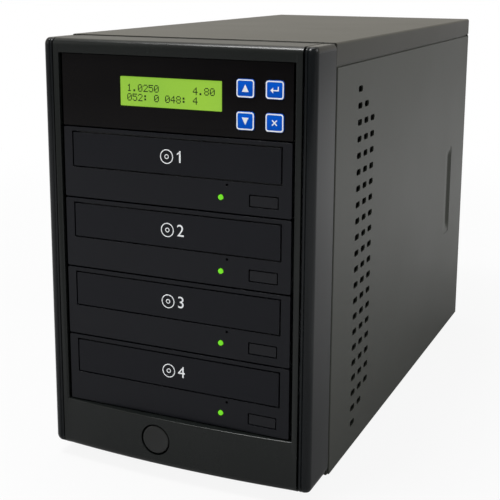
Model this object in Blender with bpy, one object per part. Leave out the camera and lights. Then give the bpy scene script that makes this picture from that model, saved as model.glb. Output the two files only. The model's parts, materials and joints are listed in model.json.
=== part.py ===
"""Disc duplicator tower: four half-height disc drives under a copy controller, in a steel case.

Metres, +Z up, the front faces -Y. The origin is at the bottom centre of the whole machine.
Heights named *_UP are measured from the floor of the bay stack, depths named *_BACK from the drive faces.
"""
import math

import bmesh
import bpy
from mathutils import Vector

# Case
CASE_WIDTH = 0.172
CASE_HEIGHT = 0.2574
CASE_DEPTH = 0.3665
SHEET = 0.001
GAP = 0.0003
OVERRUN = 0.002
EMBED = 0.0003
FOOT_HEIGHT = 0.006
FOOT_RADIUS = 0.009
FOOT_TAPER = 0.001
FOOT_INSET = 0.026
COVER_LAP = 0.0124
COVER_CORNER = 0.0015
FRAME_MARGIN = 0.012
SCREW_HEAD_RADIUS = 0.003
SCREW_HEAD_HEIGHT = 0.002
THUMB_RADIUS = 0.005
THUMB_LENGTH = 0.007
THUMB_TURNS = 14
THUMB_KNURL = 0.0004
THUMB_HEIGHT_SHARES = ((0.12, "low"), (0.88, "high"))

# Bays and drives
BAY_COUNT = 4
BAY_FLOOR = 0.0336
BAY_HEADER = 0.0088
DRIVE_SIDE_ROOM = 0.013
DRIVE_BODY_DEPTH = 0.167
DRIVE_STACK_GAP = 0.0015
DRIVE_BEZEL_THICK = 0.005
DRIVE_SIDE_CLEAR = 0.00015
BEZEL_GAP = 0.0004
BEZEL_CORNER = 0.0006
TRAY_DOOR_MARGIN = 0.0066
TRAY_DOOR_HEIGHT_SHARE = 0.465
TRAY_DOOR_UP_SHARE = 0.45
TRAY_DOOR_THICK = 0.004
TRAY_DOOR_OVERHANG = 0.0017
TRAY_REAR_MARGIN = 0.024
TRAY_HEIGHT_SHARE = 0.19
TRAY_LIFT = 0.00345
TRAY_CORNER = 0.006
TRAY_HEADROOM = 0.004
DISC_SIDE_MARGIN = 0.0042
DISC_WELL_DEPTH = 0.002
SMALL_DISC_STEP = 0.020
SMALL_WELL_DEPTH = 0.0012
DISC_FRONT_MARGIN = 0.003
PICKUP_SLOT_WIDTH = 0.034
EJECT_WIDTH = 0.0164
EJECT_HEIGHT = 0.0059
EJECT_INSET = 0.0167
EJECT_UP_SHARE = 0.198
EJECT_DEPTH = 0.0039
EJECT_TRAVEL = 0.0009
LAMP_RADIUS = 0.0017
LAMP_FROM_EJECT = 0.0264
LAMP_UP_SHARE = 0.206
LAMP_PROUD = 0.0002
PINHOLE_RADIUS = 0.0008
PINHOLE_FROM_LAMP = 0.0041
PINHOLE_UP_SHARE = 0.377
DRIVE_SCREW_BACK = 0.060
DRIVE_SCREW_PITCH = 0.0795
DRIVE_SCREW_UP = 0.010

# Moulded front
FASCIA_DEPTH = 0.031
FASCIA_WALL = 0.0025
FASCIA_LIFT = 0.002
RIM_PROUD = 0.001
BOW = 0.0035
OPENING_REVEAL = 0.0018
LIP_DROP = 0.0004
LIP_RADIUS = 0.0008
TOP_RADIUS = 0.0055
BOTTOM_RADIUS = 0.005
WINDOW_SINK = 0.0002
STILE_WIDTH = 0.0035
GROOVE_WIDTH = 0.001
TRIM_SET_BACK = 0.0002
TRIM_CORNER = 0.005
TRIM_SIDE_RADIUS = 0.0035
TRIM_WALL = 0.002
BEAD_WIDTH = 0.0013
NOTCH_WIDTH = 0.0006
NOTCH_DEPTH = 0.0006
BOW_STEPS = 12
ARC_STEPS = 4

# Power button
BUTTON_RADIUS = 0.0088
BUTTON_X = -0.0113
BUTTON_DROP = 0.0144
BUTTON_LENGTH = 0.0080
BUTTON_TRAVEL = 0.0025
BUTTON_FLUSH = 0.0002
BUTTON_EDGE = 0.0004
SWITCH_WIDTH = 0.013

# Controller bay
PANEL_REVEAL = 0.0017
PANEL_SET_BACK = 0.0002
PANEL_THICK = 0.003
SCREEN_WIDTH = 0.0642
SCREEN_HEIGHT = 0.0167
SCREEN_FROM_KEYS = 0.0467
SCREEN_UP_SHARE = 0.521
SCREEN_THICK = 0.0015
SCREEN_SINK = 0.0003
DISPLAY_MARGIN = 0.006
BOARD_THICK = 0.0016
KEY_WIDTH = 0.0108
KEY_HEIGHT = 0.0102
KEY_CORNER = 0.0015
KEY_PROUD = 0.0005
KEY_LENGTH = 0.0042
KEY_TRAVEL = 0.001
KEY_INSET = 0.0108
KEY_COLUMN_PITCH = 0.0173
KEY_HIGH_SHARE = 0.644
KEY_LOW_SHARE = 0.230
KEY_STOP_CLEAR = 0.0001
TACT_WIDTH = 0.006
TACT_HEIGHT = 0.002
POST_RADIUS = 0.0015
CARRIER_LIFT = 0.001
CARRIER_WALL_HEIGHT = 0.030
CARRIER_SHORTER = 0.007
CONTROLLER_SIDE_ROOM = 0.013
CONTROLLER_LENGTH = 0.110
CONTROLLER_BACK = 0.045
CONTROLLER_LIFT = 0.006
CHIP_SIZE = 0.024
CHIP_THICK = 0.0022
PORT_SPACE = 0.006
PORT_LENGTH = 0.0060
PORT_HEIGHT = 0.0070
PORT_MARGIN = 0.016

# Cage
CAGE_SHORTER = 0.009
CAGE_CLEAR = 0.0003

# Side panels
VENT_ROWS = 22
VENT_COLUMN_PITCH = 0.0126
VENT_BACK = 0.0757
VENT_TOP_MARGIN = 0.0173
VENT_FOOT_MARGIN = 0.0158
VENT_LENGTH = 0.0075
VENT_HEIGHT = 0.0034
VENT_COLUMNS = 3
GRIP_FROM_REAR = 0.0635
GRIP_WIDTH = 0.0195
GRIP_FOOT_UP = 0.0510
GRIP_HEIGHT = 0.072
GRIP_DEPTH = 0.0055
GRIP_CORNER = 0.004
TONGUE_RISE = 0.006
TONGUE_ROOT = 0.006
HOOK_COUNT = 3
HOOK_LENGTH = 0.012
HOOK_DROP = 0.006
REAR_FLANGE = 0.012
PANEL_TRAVEL = 0.018

# Power supply
SUPPLY_SIDE_ROOM = 0.011
SUPPLY_HEIGHT = 0.086
CABLE_ROOM = 0.0333
SUPPLY_RIM = 0.004
FAN_BORE = 0.038
FAN_TIP_GAP = 0.0015
FAN_HUB = 0.018
FAN_HUB_DEPTH = 0.018
FAN_BLADES = 7
BLADE_THICK = 0.0012
BLADE_DEPTH = 0.015
BLADE_SWEEP_DEG = 34.0
SUPPLY_FAN_SHARE = -0.28
SUPPLY_WELL_DEPTH = 0.026
BOSS_RADIUS = 0.006
GRILLE_RINGS = 3
GRILLE_WIRE = 0.0016
GRILLE_SECTORS = 4
GRILLE_HUB = 0.008
GRILLE_MARGIN = 0.0025
GUARD_LAP = 0.0006
GRILLE_THICK = 0.001
INLET_SHARE = 0.627
INLET_UP = 0.026
INLET_WIDTH = 0.027
INLET_HEIGHT = 0.0195
INLET_CHAMFER = 0.004
INLET_FLANGE = 0.0015
INLET_FLANGE_THICK = 0.002
INLET_BODY_DEPTH = 0.019
INLET_WALL = 0.0014
PIN_WIDTH = 0.002
PIN_HEIGHT = 0.004
PIN_SPREAD = 0.007
PIN_RISE = 0.002
PIN_RECESS = 0.0055
INLET_FLOOR = 0.003
ROCKER_UP = 0.060
ROCKER_WIDTH = 0.0176
ROCKER_HEIGHT = 0.0116
ROCKER_LIP = 0.0018
ROCKER_DIP = 0.0008
ROCKER_SHOULDER = 0.001
ROCKER_KEEL = 0.006
ROCKER_KEEL_WIDTH = 0.006
ROCKER_TILT_DEG = 8.0
HOUSING_WALL = 0.0014
HOUSING_FLANGE = 0.0014
HOUSING_FLANGE_THICK = 0.0015
HOUSING_DEPTH = 0.014
HOUSING_FLOOR = 0.002

# Rear case fan
CASE_FAN_WALL = 0.002
CASE_FAN_DEPTH = 0.025
CASE_FAN_CORNER = 0.004
STRUT_WIDTH = 0.004
STRUT_THICK = 0.003
FAN_SCREW_INSET = 0.00425

# Derived planes of the whole machine
TOTAL_DEPTH = RIM_PROUD + BOW + CASE_DEPTH + GAP + THUMB_LENGTH
FACE_Y = RIM_PROUD + BOW - TOTAL_DEPTH / 2
HALF_WIDTH = CASE_WIDTH / 2
BASE_Z = FOOT_HEIGHT
TOP_Z = BASE_Z + CASE_HEIGHT
STACK_Z = BASE_Z + BAY_FLOOR
OPENING_HEIGHT = CASE_HEIGHT - BAY_FLOOR - BAY_HEADER
BAY_PITCH = OPENING_HEIGHT / (BAY_COUNT + 1)
DRIVE_WIDTH = CASE_WIDTH - 2 * DRIVE_SIDE_ROOM
OPENING_WIDTH = DRIVE_WIDTH + 2 * OPENING_REVEAL
FASCIA_REAR_Y = FACE_Y + FASCIA_DEPTH
SEAM_Y = FASCIA_REAR_Y + GAP
REAR_Y = FACE_Y + CASE_DEPTH
CHASSIS_REAR_Y = REAR_Y - SHEET - GAP
CHASSIS_TOP_Z = TOP_Z - SHEET - GAP
CHASSIS_HALF = HALF_WIDTH - 2 * (SHEET + GAP)
OPENING_HALF = OPENING_WIDTH / 2
GROOVE_X = OPENING_HALF + STILE_WIDTH
TRIM_X = GROOVE_X + GROOVE_WIDTH
RIM_Y = FACE_Y - RIM_PROUD
LIP_Z = STACK_Z - LIP_DROP
FASCIA_BASE_Z = BASE_Z + FASCIA_LIFT
PANEL_BAY_Z = STACK_Z + BAY_COUNT * BAY_PITCH
LAP_Z = TOP_Z - COVER_LAP
CAGE_HALF = DRIVE_WIDTH / 2 + CAGE_CLEAR
CAGE_FRONT_Y = SEAM_Y + SHEET + GAP
CAGE_LENGTH = DRIVE_BODY_DEPTH - CAGE_SHORTER
INNER_REAR_Y = CHASSIS_REAR_Y - SHEET - GAP
SHARP_ANGLE = math.radians(35)
WELD = 0.00001

# Derived places on a drive
DRIVE_BODY_HEIGHT = BAY_PITCH - DRIVE_STACK_GAP
TRAY_DOOR_WIDTH = DRIVE_WIDTH - 2 * TRAY_DOOR_MARGIN
TRAY_DOOR_HEIGHT = BAY_PITCH * TRAY_DOOR_HEIGHT_SHARE
TRAY_DOOR_UP = BAY_PITCH * TRAY_DOOR_UP_SHARE
TRAY_WIDTH = TRAY_DOOR_WIDTH - 2 * TRAY_DOOR_OVERHANG
TRAY_HEIGHT = BAY_PITCH * TRAY_HEIGHT_SHARE
TRAY_UP = TRAY_DOOR_UP + TRAY_LIFT
DISC_RADIUS = TRAY_WIDTH / 2 - DISC_SIDE_MARGIN
SMALL_DISC_RADIUS = DISC_RADIUS - SMALL_DISC_STEP
TRAY_LENGTH = 2 * DISC_RADIUS + DISC_FRONT_MARGIN + TRAY_REAR_MARGIN
EJECT_X = DRIVE_WIDTH / 2 - EJECT_INSET
EJECT_UP = BAY_PITCH * EJECT_UP_SHARE
LAMP_X = EJECT_X - LAMP_FROM_EJECT
LAMP_UP = BAY_PITCH * LAMP_UP_SHARE
PINHOLE_X = LAMP_X + PINHOLE_FROM_LAMP
PINHOLE_UP = BAY_PITCH * PINHOLE_UP_SHARE

# Derived places in the controller bay
PANEL_WIDTH = OPENING_WIDTH - 2 * PANEL_REVEAL
KEY_RIGHT_X = PANEL_WIDTH / 2 - KEY_INSET
KEY_LEFT_X = KEY_RIGHT_X - KEY_COLUMN_PITCH
KEY_HIGH_Z = PANEL_BAY_Z + BAY_PITCH * KEY_HIGH_SHARE
KEY_LOW_Z = PANEL_BAY_Z + BAY_PITCH * KEY_LOW_SHARE
SCREEN_X = KEY_LEFT_X - SCREEN_FROM_KEYS
SCREEN_Z = PANEL_BAY_Z + BAY_PITCH * SCREEN_UP_SHARE
CARRIER_LENGTH = DRIVE_BODY_DEPTH - CARRIER_SHORTER
CONTROLLER_WIDTH = DRIVE_WIDTH - 2 * CONTROLLER_SIDE_ROOM
PORT_PITCH = (CONTROLLER_WIDTH - 2 * PORT_MARGIN) / BAY_COUNT
PORT_WIDTH = PORT_PITCH - PORT_SPACE

# Derived places on the sides and the rear
VENT_TOP_Z = LAP_Z - VENT_TOP_MARGIN
VENT_ROW_PITCH = (VENT_TOP_Z - BASE_Z - VENT_FOOT_MARGIN) / (VENT_ROWS - 1)
SUPPLY_WIDTH = CASE_WIDTH - 2 * SUPPLY_SIDE_ROOM
SUPPLY_DEPTH = INNER_REAR_Y - CAGE_FRONT_Y - CAGE_LENGTH - CABLE_ROOM
SUPPLY_TOP_Z = BASE_Z + SHEET + GAP + SUPPLY_HEIGHT
SUPPLY_FAN_X = SUPPLY_WIDTH / 2 * SUPPLY_FAN_SHARE
INLET_X = SUPPLY_WIDTH / 2 * INLET_SHARE
FAN_TIP = FAN_BORE - FAN_TIP_GAP
CASE_FAN_SIZE = 2 * (FAN_BORE + CASE_FAN_WALL)
CASE_FAN_Z = (SUPPLY_TOP_Z + LAP_Z) / 2
FAN_SCREW_SPREAD = CASE_FAN_SIZE / 2 - FAN_SCREW_INSET

# A plane names the two axes of an outline; the third axis is the one it is pushed along.
PLANES = {
    "XY": lambda u, v, w: (u, v, w),
    "XZ": lambda u, v, w: (u, w, v),
    "YZ": lambda u, v, w: (w, u, v),
}


def clear_scene():
    for item in list(bpy.data.objects):
        bpy.data.objects.remove(item, do_unlink=True)


def make_material(name, colour, roughness, metallic=0.0):
    material = bpy.data.materials.new(name)
    material.use_nodes = True
    surface = material.node_tree.nodes["Principled BSDF"]
    surface.inputs["Base Color"].default_value = (*colour, 1.0)
    surface.inputs["Roughness"].default_value = roughness
    surface.inputs["Metallic"].default_value = metallic
    return material


def finish(bm, name, material, origin=(0.0, 0.0, 0.0)):
    """Turn a bmesh in world coordinates into a named object with its own origin."""
    bmesh.ops.recalc_face_normals(bm, faces=bm.faces)
    bmesh.ops.translate(bm, verts=bm.verts, vec=-Vector(origin))
    mesh = bpy.data.meshes.new(name)
    bm.to_mesh(mesh)
    bm.free()
    mesh.materials.append(material)
    mesh.shade_smooth()
    mesh.set_sharp_from_angle(angle=SHARP_ANGLE)
    item = bpy.data.objects.new(name, mesh)
    item.location = origin
    bpy.context.collection.objects.link(item)
    return item


def combine(target, tool, operation):
    """Cut or weld one object with another, which stays behind as a hidden guide."""
    step = target.modifiers.new(tool.name, "BOOLEAN")
    step.operation = operation
    step.solver = "EXACT"
    step.object = tool
    tool.hide_render = True
    tool.display_type = "WIRE"


def bake(item):
    """Replace an object's mesh by its evaluated one, so that copies can share it."""
    depsgraph = bpy.context.evaluated_depsgraph_get()
    mesh = bpy.data.meshes.new_from_object(item.evaluated_get(depsgraph))
    item.modifiers.clear()
    item.data = mesh
    mesh.shade_smooth()
    mesh.set_sharp_from_angle(angle=SHARP_ANGLE)


def copy_at(item, name, offset):
    twin = bpy.data.objects.new(name, item.data)
    twin.location = item.location + Vector(offset)
    bpy.context.collection.objects.link(twin)
    return twin


def add_prism(bm, plane, outline, start, end, holes=()):
    """Fill an outline with holes in one plane and push it along the third axis."""
    put = PLANES[plane]
    edges = []
    for ring in (outline, *holes):
        corners = [bm.verts.new(put(u, v, start)) for u, v in ring]
        edges += [bm.edges.new((corners[i - 1], corners[i])) for i in range(len(corners))]
    filled = bmesh.ops.triangle_fill(bm, use_beauty=True, use_dissolve=False, edges=edges)
    faces = [part for part in filled["geom"] if isinstance(part, bmesh.types.BMFace)]
    pushed = bmesh.ops.extrude_face_region(bm, geom=faces)
    moved = [part for part in pushed["geom"] if isinstance(part, bmesh.types.BMVert)]
    reach = Vector(put(0.0, 0.0, end)) - Vector(put(0.0, 0.0, start))
    bmesh.ops.translate(bm, verts=moved, vec=reach)


def add_box(bm, xs, ys, zs):
    add_prism(bm, "XY", [(xs[0], ys[0]), (xs[1], ys[0]), (xs[1], ys[1]), (xs[0], ys[1])], zs[0], zs[1])


def add_loft(bm, rings):
    """Skin a row of rings with equal point counts and close both ends."""
    rows = [[bm.verts.new(point) for point in ring] for ring in rings]
    count = len(rows[0])
    for lower, upper in zip(rows, rows[1:]):
        for i in range(count):
            bm.faces.new((lower[i - 1], lower[i], upper[i], upper[i - 1]))
    bm.faces.new(rows[0][::-1])
    bm.faces.new(rows[-1])
    bmesh.ops.remove_doubles(bm, verts=bm.verts, dist=WELD)


def arc(cu, cv, radius, start_deg, end_deg, steps):
    span = end_deg - start_deg
    angles = [math.radians(start_deg + span * i / steps) for i in range(steps + 1)]
    return [(cu + radius * math.cos(a), cv + radius * math.sin(a)) for a in angles]


def circle(cu, cv, radius, steps):
    return arc(cu, cv, radius, 0, 360, steps)[:-1]


def rectangle(cu, cv, width, height):
    return [(cu - width / 2, cv - height / 2), (cu + width / 2, cv - height / 2),
            (cu + width / 2, cv + height / 2), (cu - width / 2, cv + height / 2)]


def rounded(cu, cv, width, height, radius, steps=3):
    du = width / 2 - radius
    dv = height / 2 - radius
    corners = ((1, -1, -90), (1, 1, 0), (-1, 1, 90), (-1, -1, 180))
    points = []
    for su, sv, turn in corners:
        points += arc(cu + su * du, cv + sv * dv, radius, turn, turn + 90, steps)
    return points


def slot(cu, cv, length, height, steps=3):
    """A round-ended slot that runs along the first axis."""
    reach = length / 2 - height / 2
    return (arc(cu + reach, cv, height / 2, -90, 90, steps)
            + arc(cu - reach, cv, height / 2, 90, 270, steps))


def add_turned(bm, plane, cu, cv, profile, steps):
    """Stack circles of (radius, place) along the axis that is square to the plane."""
    put = PLANES[plane]
    rings = [[put(u, v, place) for u, v in circle(cu, cv, radius, steps)] for radius, place in profile]
    add_loft(bm, rings)


def half_round_steps(radius, steps):
    """Inset and rise along a quarter round, from its sharp end to its full end."""
    turns = [math.radians(90 * i / steps) for i in range(steps + 1)]
    return [(radius * (1 - math.sin(turn)), radius * (1 - math.cos(turn))) for turn in turns]


# Steel case

def build_chassis(material):
    """Base, front wall and rear wall are one folded sheet; a flanged frame stiffens each side."""
    bm = bmesh.new()
    front, rear = SEAM_Y, CHASSIS_REAR_Y
    low, high = BASE_Z, CHASSIS_TOP_Z
    fold = [(front, high), (front, low), (rear, low), (rear, high),
            (rear - FRAME_MARGIN, high), (rear - FRAME_MARGIN, high - SHEET),
            (rear - SHEET, high - SHEET), (rear - SHEET, low + SHEET),
            (front + SHEET, low + SHEET), (front + SHEET, high - SHEET),
            (front + FRAME_MARGIN, high - SHEET), (front + FRAME_MARGIN, high)]
    add_prism(bm, "YZ", fold, -CHASSIS_HALF, CHASSIS_HALF)
    chassis = finish(bm, "chassis", material)

    bm = bmesh.new()
    depth = rear - front - 2 * EMBED
    height = high - low - 2 * EMBED
    middle = ((front + rear) / 2, (low + high) / 2)
    outline = rectangle(*middle, depth, height)
    window = rectangle(*middle, depth - 2 * FRAME_MARGIN, height - 2 * FRAME_MARGIN)
    for side in (-1, 1):
        outer = side * (CHASSIS_HALF - EMBED)
        add_prism(bm, "YZ", outline, outer - side * SHEET, outer, holes=(window,))
    combine(chassis, finish(bm, "chassis_side_frames", material), "UNION")

    bm = bmesh.new()
    bay_height = OPENING_HEIGHT + 2 * CAGE_CLEAR
    bays = rectangle(0.0, STACK_Z + OPENING_HEIGHT / 2, 2 * CAGE_HALF, bay_height)
    add_prism(bm, "XZ", bays, front - OVERRUN, front + SHEET + OVERRUN)
    supply_window = (SUPPLY_WIDTH - 2 * SUPPLY_RIM, SUPPLY_HEIGHT - 2 * SUPPLY_RIM)
    supply = rectangle(0.0, supply_centre_z(), *supply_window)
    add_prism(bm, "XZ", supply, rear - SHEET - OVERRUN, rear + OVERRUN)
    bore = circle(0.0, CASE_FAN_Z, FAN_BORE, 32)
    add_prism(bm, "XZ", bore, rear - SHEET - OVERRUN, rear + OVERRUN)
    combine(chassis, finish(bm, "chassis_cuts", material), "DIFFERENCE")


def supply_centre_z():
    return BASE_Z + SHEET + GAP + SUPPLY_HEIGHT / 2


def build_cage(material):
    """Two side plates joined by a shelf under the drives and a roof over them."""
    bm = bmesh.new()
    half = CAGE_HALF
    foot = BASE_Z + SHEET + GAP
    shelf = STACK_Z + BEZEL_GAP / 2
    roof = STACK_Z + OPENING_HEIGHT + CAGE_CLEAR
    outline = [(-half - SHEET, foot), (-half, foot), (-half, shelf - SHEET), (half, shelf - SHEET),
               (half, foot), (half + SHEET, foot), (half + SHEET, roof + SHEET), (-half - SHEET, roof + SHEET)]
    inside = [(-half, shelf), (half, shelf), (half, roof), (-half, roof)]
    add_prism(bm, "XZ", outline, CAGE_FRONT_Y, CAGE_FRONT_Y + CAGE_LENGTH, holes=(inside,))
    cage = finish(bm, "drive_cage", material)

    # Two screws on each side of every drive, with their heads on the outside of the cage.
    bm = bmesh.new()
    for bay in range(BAY_COUNT):
        z = STACK_Z + bay * BAY_PITCH + DRIVE_SCREW_UP
        for side in (-1, 1):
            plate = side * (CAGE_HALF + SHEET)
            for i in range(2):
                y = FACE_Y + DRIVE_SCREW_BACK + i * DRIVE_SCREW_PITCH
                head = circle(y, z, SCREW_HEAD_RADIUS, 8)
                add_prism(bm, "YZ", head, plate - side * EMBED, plate + side * SCREW_HEAD_HEIGHT)
    combine(cage, finish(bm, "drive_cage_screws", material), "UNION")


def build_top_cover(material):
    """An inverted tray: the top sheet, a lap flange on each side and a lip over the rear wall."""
    bm = bmesh.new()
    half = HALF_WIDTH
    centre_x = half - COVER_CORNER
    centre_z = TOP_Z - COVER_CORNER
    right = arc(centre_x, centre_z, COVER_CORNER, 0, 90, 3)
    left = arc(-centre_x, centre_z, COVER_CORNER, 90, 180, 3)
    inner = half - SHEET
    section = ([(inner, LAP_Z), (half, LAP_Z)] + right + left
               + [(-half, LAP_Z), (-inner, LAP_Z), (-inner, TOP_Z - SHEET), (inner, TOP_Z - SHEET)])
    add_prism(bm, "XZ", section, SEAM_Y, REAR_Y)
    cover = finish(bm, "top_cover", material)
    bm = bmesh.new()
    lip = HALF_WIDTH - SHEET - GAP - REAR_FLANGE
    add_box(bm, (-lip, lip), (REAR_Y - SHEET, REAR_Y - EMBED), (LAP_Z, TOP_Z - EMBED))
    combine(cover, finish(bm, "top_cover_lip", material), "UNION")
    bm = bmesh.new()
    for x in (-OPENING_HALF / 2, OPENING_HALF / 2):
        head = circle(x, (LAP_Z + TOP_Z) / 2, SCREW_HEAD_RADIUS, 10)
        add_prism(bm, "XZ", head, REAR_Y - 2 * EMBED, REAR_Y + SCREW_HEAD_HEIGHT)
    combine(cover, finish(bm, "top_cover_screws", material), "UNION")


def vent_slots():
    """Three columns of slots; each later column starts a row lower and ends a row higher."""
    slots = []
    for column in range(VENT_COLUMNS):
        back = FACE_Y + VENT_BACK + column * VENT_COLUMN_PITCH
        for row in range(column, VENT_ROWS - column):
            height = VENT_TOP_Z - row * VENT_ROW_PITCH
            slots.append(slot(back, height, VENT_LENGTH, VENT_HEIGHT))
    return slots


def build_side_panel(side, material):
    """A sliding sheet with vents, a stamped finger grip, a top tongue, foot hooks and a rear flange."""
    name = "side_panel_right" if side > 0 else "side_panel_left"
    outer = HALF_WIDTH
    inner = outer - SHEET
    low, high = BASE_Z, LAP_Z - GAP
    grip_back = REAR_Y - GRIP_FROM_REAR
    grip_low = STACK_Z + GRIP_FOOT_UP
    bm = bmesh.new()
    centre_y = grip_back + GRIP_WIDTH / 2
    centre_z = grip_low + GRIP_HEIGHT / 2
    cut = rounded(centre_y, centre_z, GRIP_WIDTH, GRIP_HEIGHT, GRIP_CORNER)
    sheet = [(SEAM_Y, low), (REAR_Y, low), (REAR_Y, high), (SEAM_Y, high)]
    add_prism(bm, "YZ", sheet, side * inner, side * outer, holes=(cut, *vent_slots()))
    panel = finish(bm, name, material)

    bm = bmesh.new()
    tongue_outer = inner - GAP
    tongue = [(side * tongue_outer, high - TONGUE_ROOT), (side * (inner + EMBED), high - TONGUE_ROOT),
              (side * (inner + EMBED), high - EMBED), (side * tongue_outer, high - EMBED),
              (side * tongue_outer, high + TONGUE_RISE), (side * (tongue_outer - SHEET), high + TONGUE_RISE),
              (side * (tongue_outer - SHEET), high - TONGUE_ROOT)]
    add_prism(bm, "XZ", tongue, SEAM_Y + EMBED, REAR_Y - FRAME_MARGIN)
    frame_inner = CHASSIS_HALF - EMBED - SHEET - GAP
    frame_top = BASE_Z + EMBED + FRAME_MARGIN
    arm = frame_top + GAP
    hook = [(side * (inner + EMBED), arm), (side * (inner + EMBED), arm + SHEET),
            (side * (frame_inner - SHEET), arm + SHEET), (side * (frame_inner - SHEET), frame_top - HOOK_DROP),
            (side * frame_inner, frame_top - HOOK_DROP), (side * frame_inner, arm)]
    inset = FRAME_MARGIN + 2 * SHEET + OVERRUN
    span = REAR_Y - SEAM_Y - PANEL_TRAVEL - HOOK_LENGTH - 2 * inset
    for i in range(HOOK_COUNT):
        start = SEAM_Y + inset + span * i / (HOOK_COUNT - 1)
        add_prism(bm, "XZ", hook, start, start + HOOK_LENGTH)
    add_box(bm, sorted((side * (outer - EMBED), side * (outer - REAR_FLANGE))),
            (REAR_Y - SHEET, REAR_Y - EMBED), (low + EMBED, high - EMBED))
    combine(panel, finish(bm, name + "_folds", material), "UNION")

    # The grip is a ramp that deepens to the rear and ends at an upright wall for the fingers.
    bm = bmesh.new()
    wall_back = grip_back + GRIP_WIDTH
    deep = outer - GRIP_DEPTH - SHEET
    shell = [(side * (inner + EMBED), grip_back - SHEET), (side * deep, wall_back),
             (side * deep, wall_back + SHEET), (side * (inner + EMBED), wall_back + SHEET)]
    add_prism(bm, "XY", shell, grip_low - SHEET, grip_low + GRIP_HEIGHT + SHEET)
    scoop = finish(bm, name + "_grip", material)
    bm = bmesh.new()
    ramp_front = grip_back + EMBED
    ramp_rear = wall_back - EMBED
    hollow = [(side * (outer + EMBED), ramp_front), (side * (outer - GRIP_DEPTH), ramp_rear),
              (side * (outer + EMBED), ramp_rear)]
    add_prism(bm, "XY", hollow, grip_low + EMBED, grip_low + GRIP_HEIGHT - EMBED)
    hollow_guide = finish(bm, name + "_grip_hollow", material)
    combine(panel, scoop, "UNION")
    combine(panel, hollow_guide, "DIFFERENCE")


def build_thumbscrews(material):
    """Two captive screws with ribbed heads hold the rear flange of each side panel."""
    height = LAP_Z - BASE_Z
    face = REAR_Y + GAP
    for side, side_name in ((-1, "left"), (1, "right")):
        x = side * (HALF_WIDTH - REAR_FLANGE / 2 - SHEET)
        for share, level in THUMB_HEIGHT_SHARES:
            z = BASE_Z + height * share
            ribs = []
            for i in range(2 * THUMB_TURNS):
                radius = THUMB_RADIUS - THUMB_KNURL * (i % 2)
                turn = math.pi * i / THUMB_TURNS
                ribs.append((x + radius * math.cos(turn), z + radius * math.sin(turn)))
            bm = bmesh.new()
            add_prism(bm, "XZ", ribs, face, face + THUMB_LENGTH)
            finish(bm, f"thumbscrew_{side_name}_{level}", material, (x, face, z))


def build_feet(material):
    """Four tapered rubber feet, set in from the edges of the base."""
    centre_y = (SEAM_Y + REAR_Y) / 2
    reach_y = (REAR_Y - SEAM_Y) / 2 - FOOT_INSET
    profile = [(FOOT_RADIUS - FOOT_TAPER, 0.0), (FOOT_RADIUS, FOOT_TAPER), (FOOT_RADIUS, FOOT_HEIGHT - GAP)]
    for side, side_name in ((-1, "left"), (1, "right")):
        for end, end_name in ((-1, "front"), (1, "rear")):
            x = side * (HALF_WIDTH - FOOT_INSET)
            y = centre_y + end * reach_y
            bm = bmesh.new()
            add_turned(bm, "XY", x, y, profile, 20)
            finish(bm, f"foot_{end_name}_{side_name}", material, (x, y, 0.0))


# Moulded front

def bow(x):
    """How far the lower panel bulges ahead of the rim at this place across the front."""
    if abs(x) >= OPENING_HALF:
        return 0.0
    return BOW * (1 - (x / OPENING_HALF) ** 2)


def bezel_section(x):
    """The wall of the front moulding in side view: top, front, proud lip, bowed panel, underside."""
    lip_y = RIM_Y - bow(x)
    lip_round = min(LIP_RADIUS, bow(x))
    low, high = FASCIA_BASE_Z, TOP_Z
    wall = FASCIA_WALL
    outer = [(FASCIA_REAR_Y, high)]
    outer += arc(RIM_Y + TOP_RADIUS, high - TOP_RADIUS, TOP_RADIUS, 90, 180, ARC_STEPS)
    outer.append((RIM_Y, LIP_Z))
    outer += arc(lip_y + lip_round, LIP_Z - lip_round, lip_round, 90, 180, 2)
    outer += arc(lip_y + BOTTOM_RADIUS, low + BOTTOM_RADIUS, BOTTOM_RADIUS, 180, 270, ARC_STEPS)
    outer.append((FASCIA_REAR_Y, low))
    inner = [(FASCIA_REAR_Y, low + wall), (lip_y + wall, low + wall), (lip_y + wall, LIP_Z - wall),
             (RIM_Y + wall, LIP_Z - wall), (RIM_Y + wall, high - wall), (FASCIA_REAR_Y, high - wall)]
    return [(x, y, z) for y, z in outer + inner]


def build_front_bezel(material):
    bowed = [OPENING_HALF * (2 * i / BOW_STEPS - 1) for i in range(BOW_STEPS + 1)]
    stations = [-GROOVE_X] + bowed + [GROOVE_X]
    bm = bmesh.new()
    add_loft(bm, [bezel_section(x) for x in stations])
    bezel = finish(bm, "front_bezel", material)
    bm = bmesh.new()
    low = LIP_Z - WINDOW_SINK
    high = STACK_Z + OPENING_HEIGHT
    opening = [(-OPENING_HALF, low), (OPENING_HALF, low), (OPENING_HALF, high), (-OPENING_HALF, high)]
    add_prism(bm, "XZ", opening, RIM_Y - BOW - OVERRUN, RIM_Y + FASCIA_WALL + OVERRUN)
    hole = circle(BUTTON_X, STACK_Z - BUTTON_DROP, BUTTON_RADIUS + GAP, 40)
    add_prism(bm, "XZ", hole, RIM_Y - BOW - OVERRUN, RIM_Y + FASCIA_WALL + OVERRUN)
    combine(bezel, finish(bm, "front_bezel_cuts", material), "DIFFERENCE")


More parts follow.
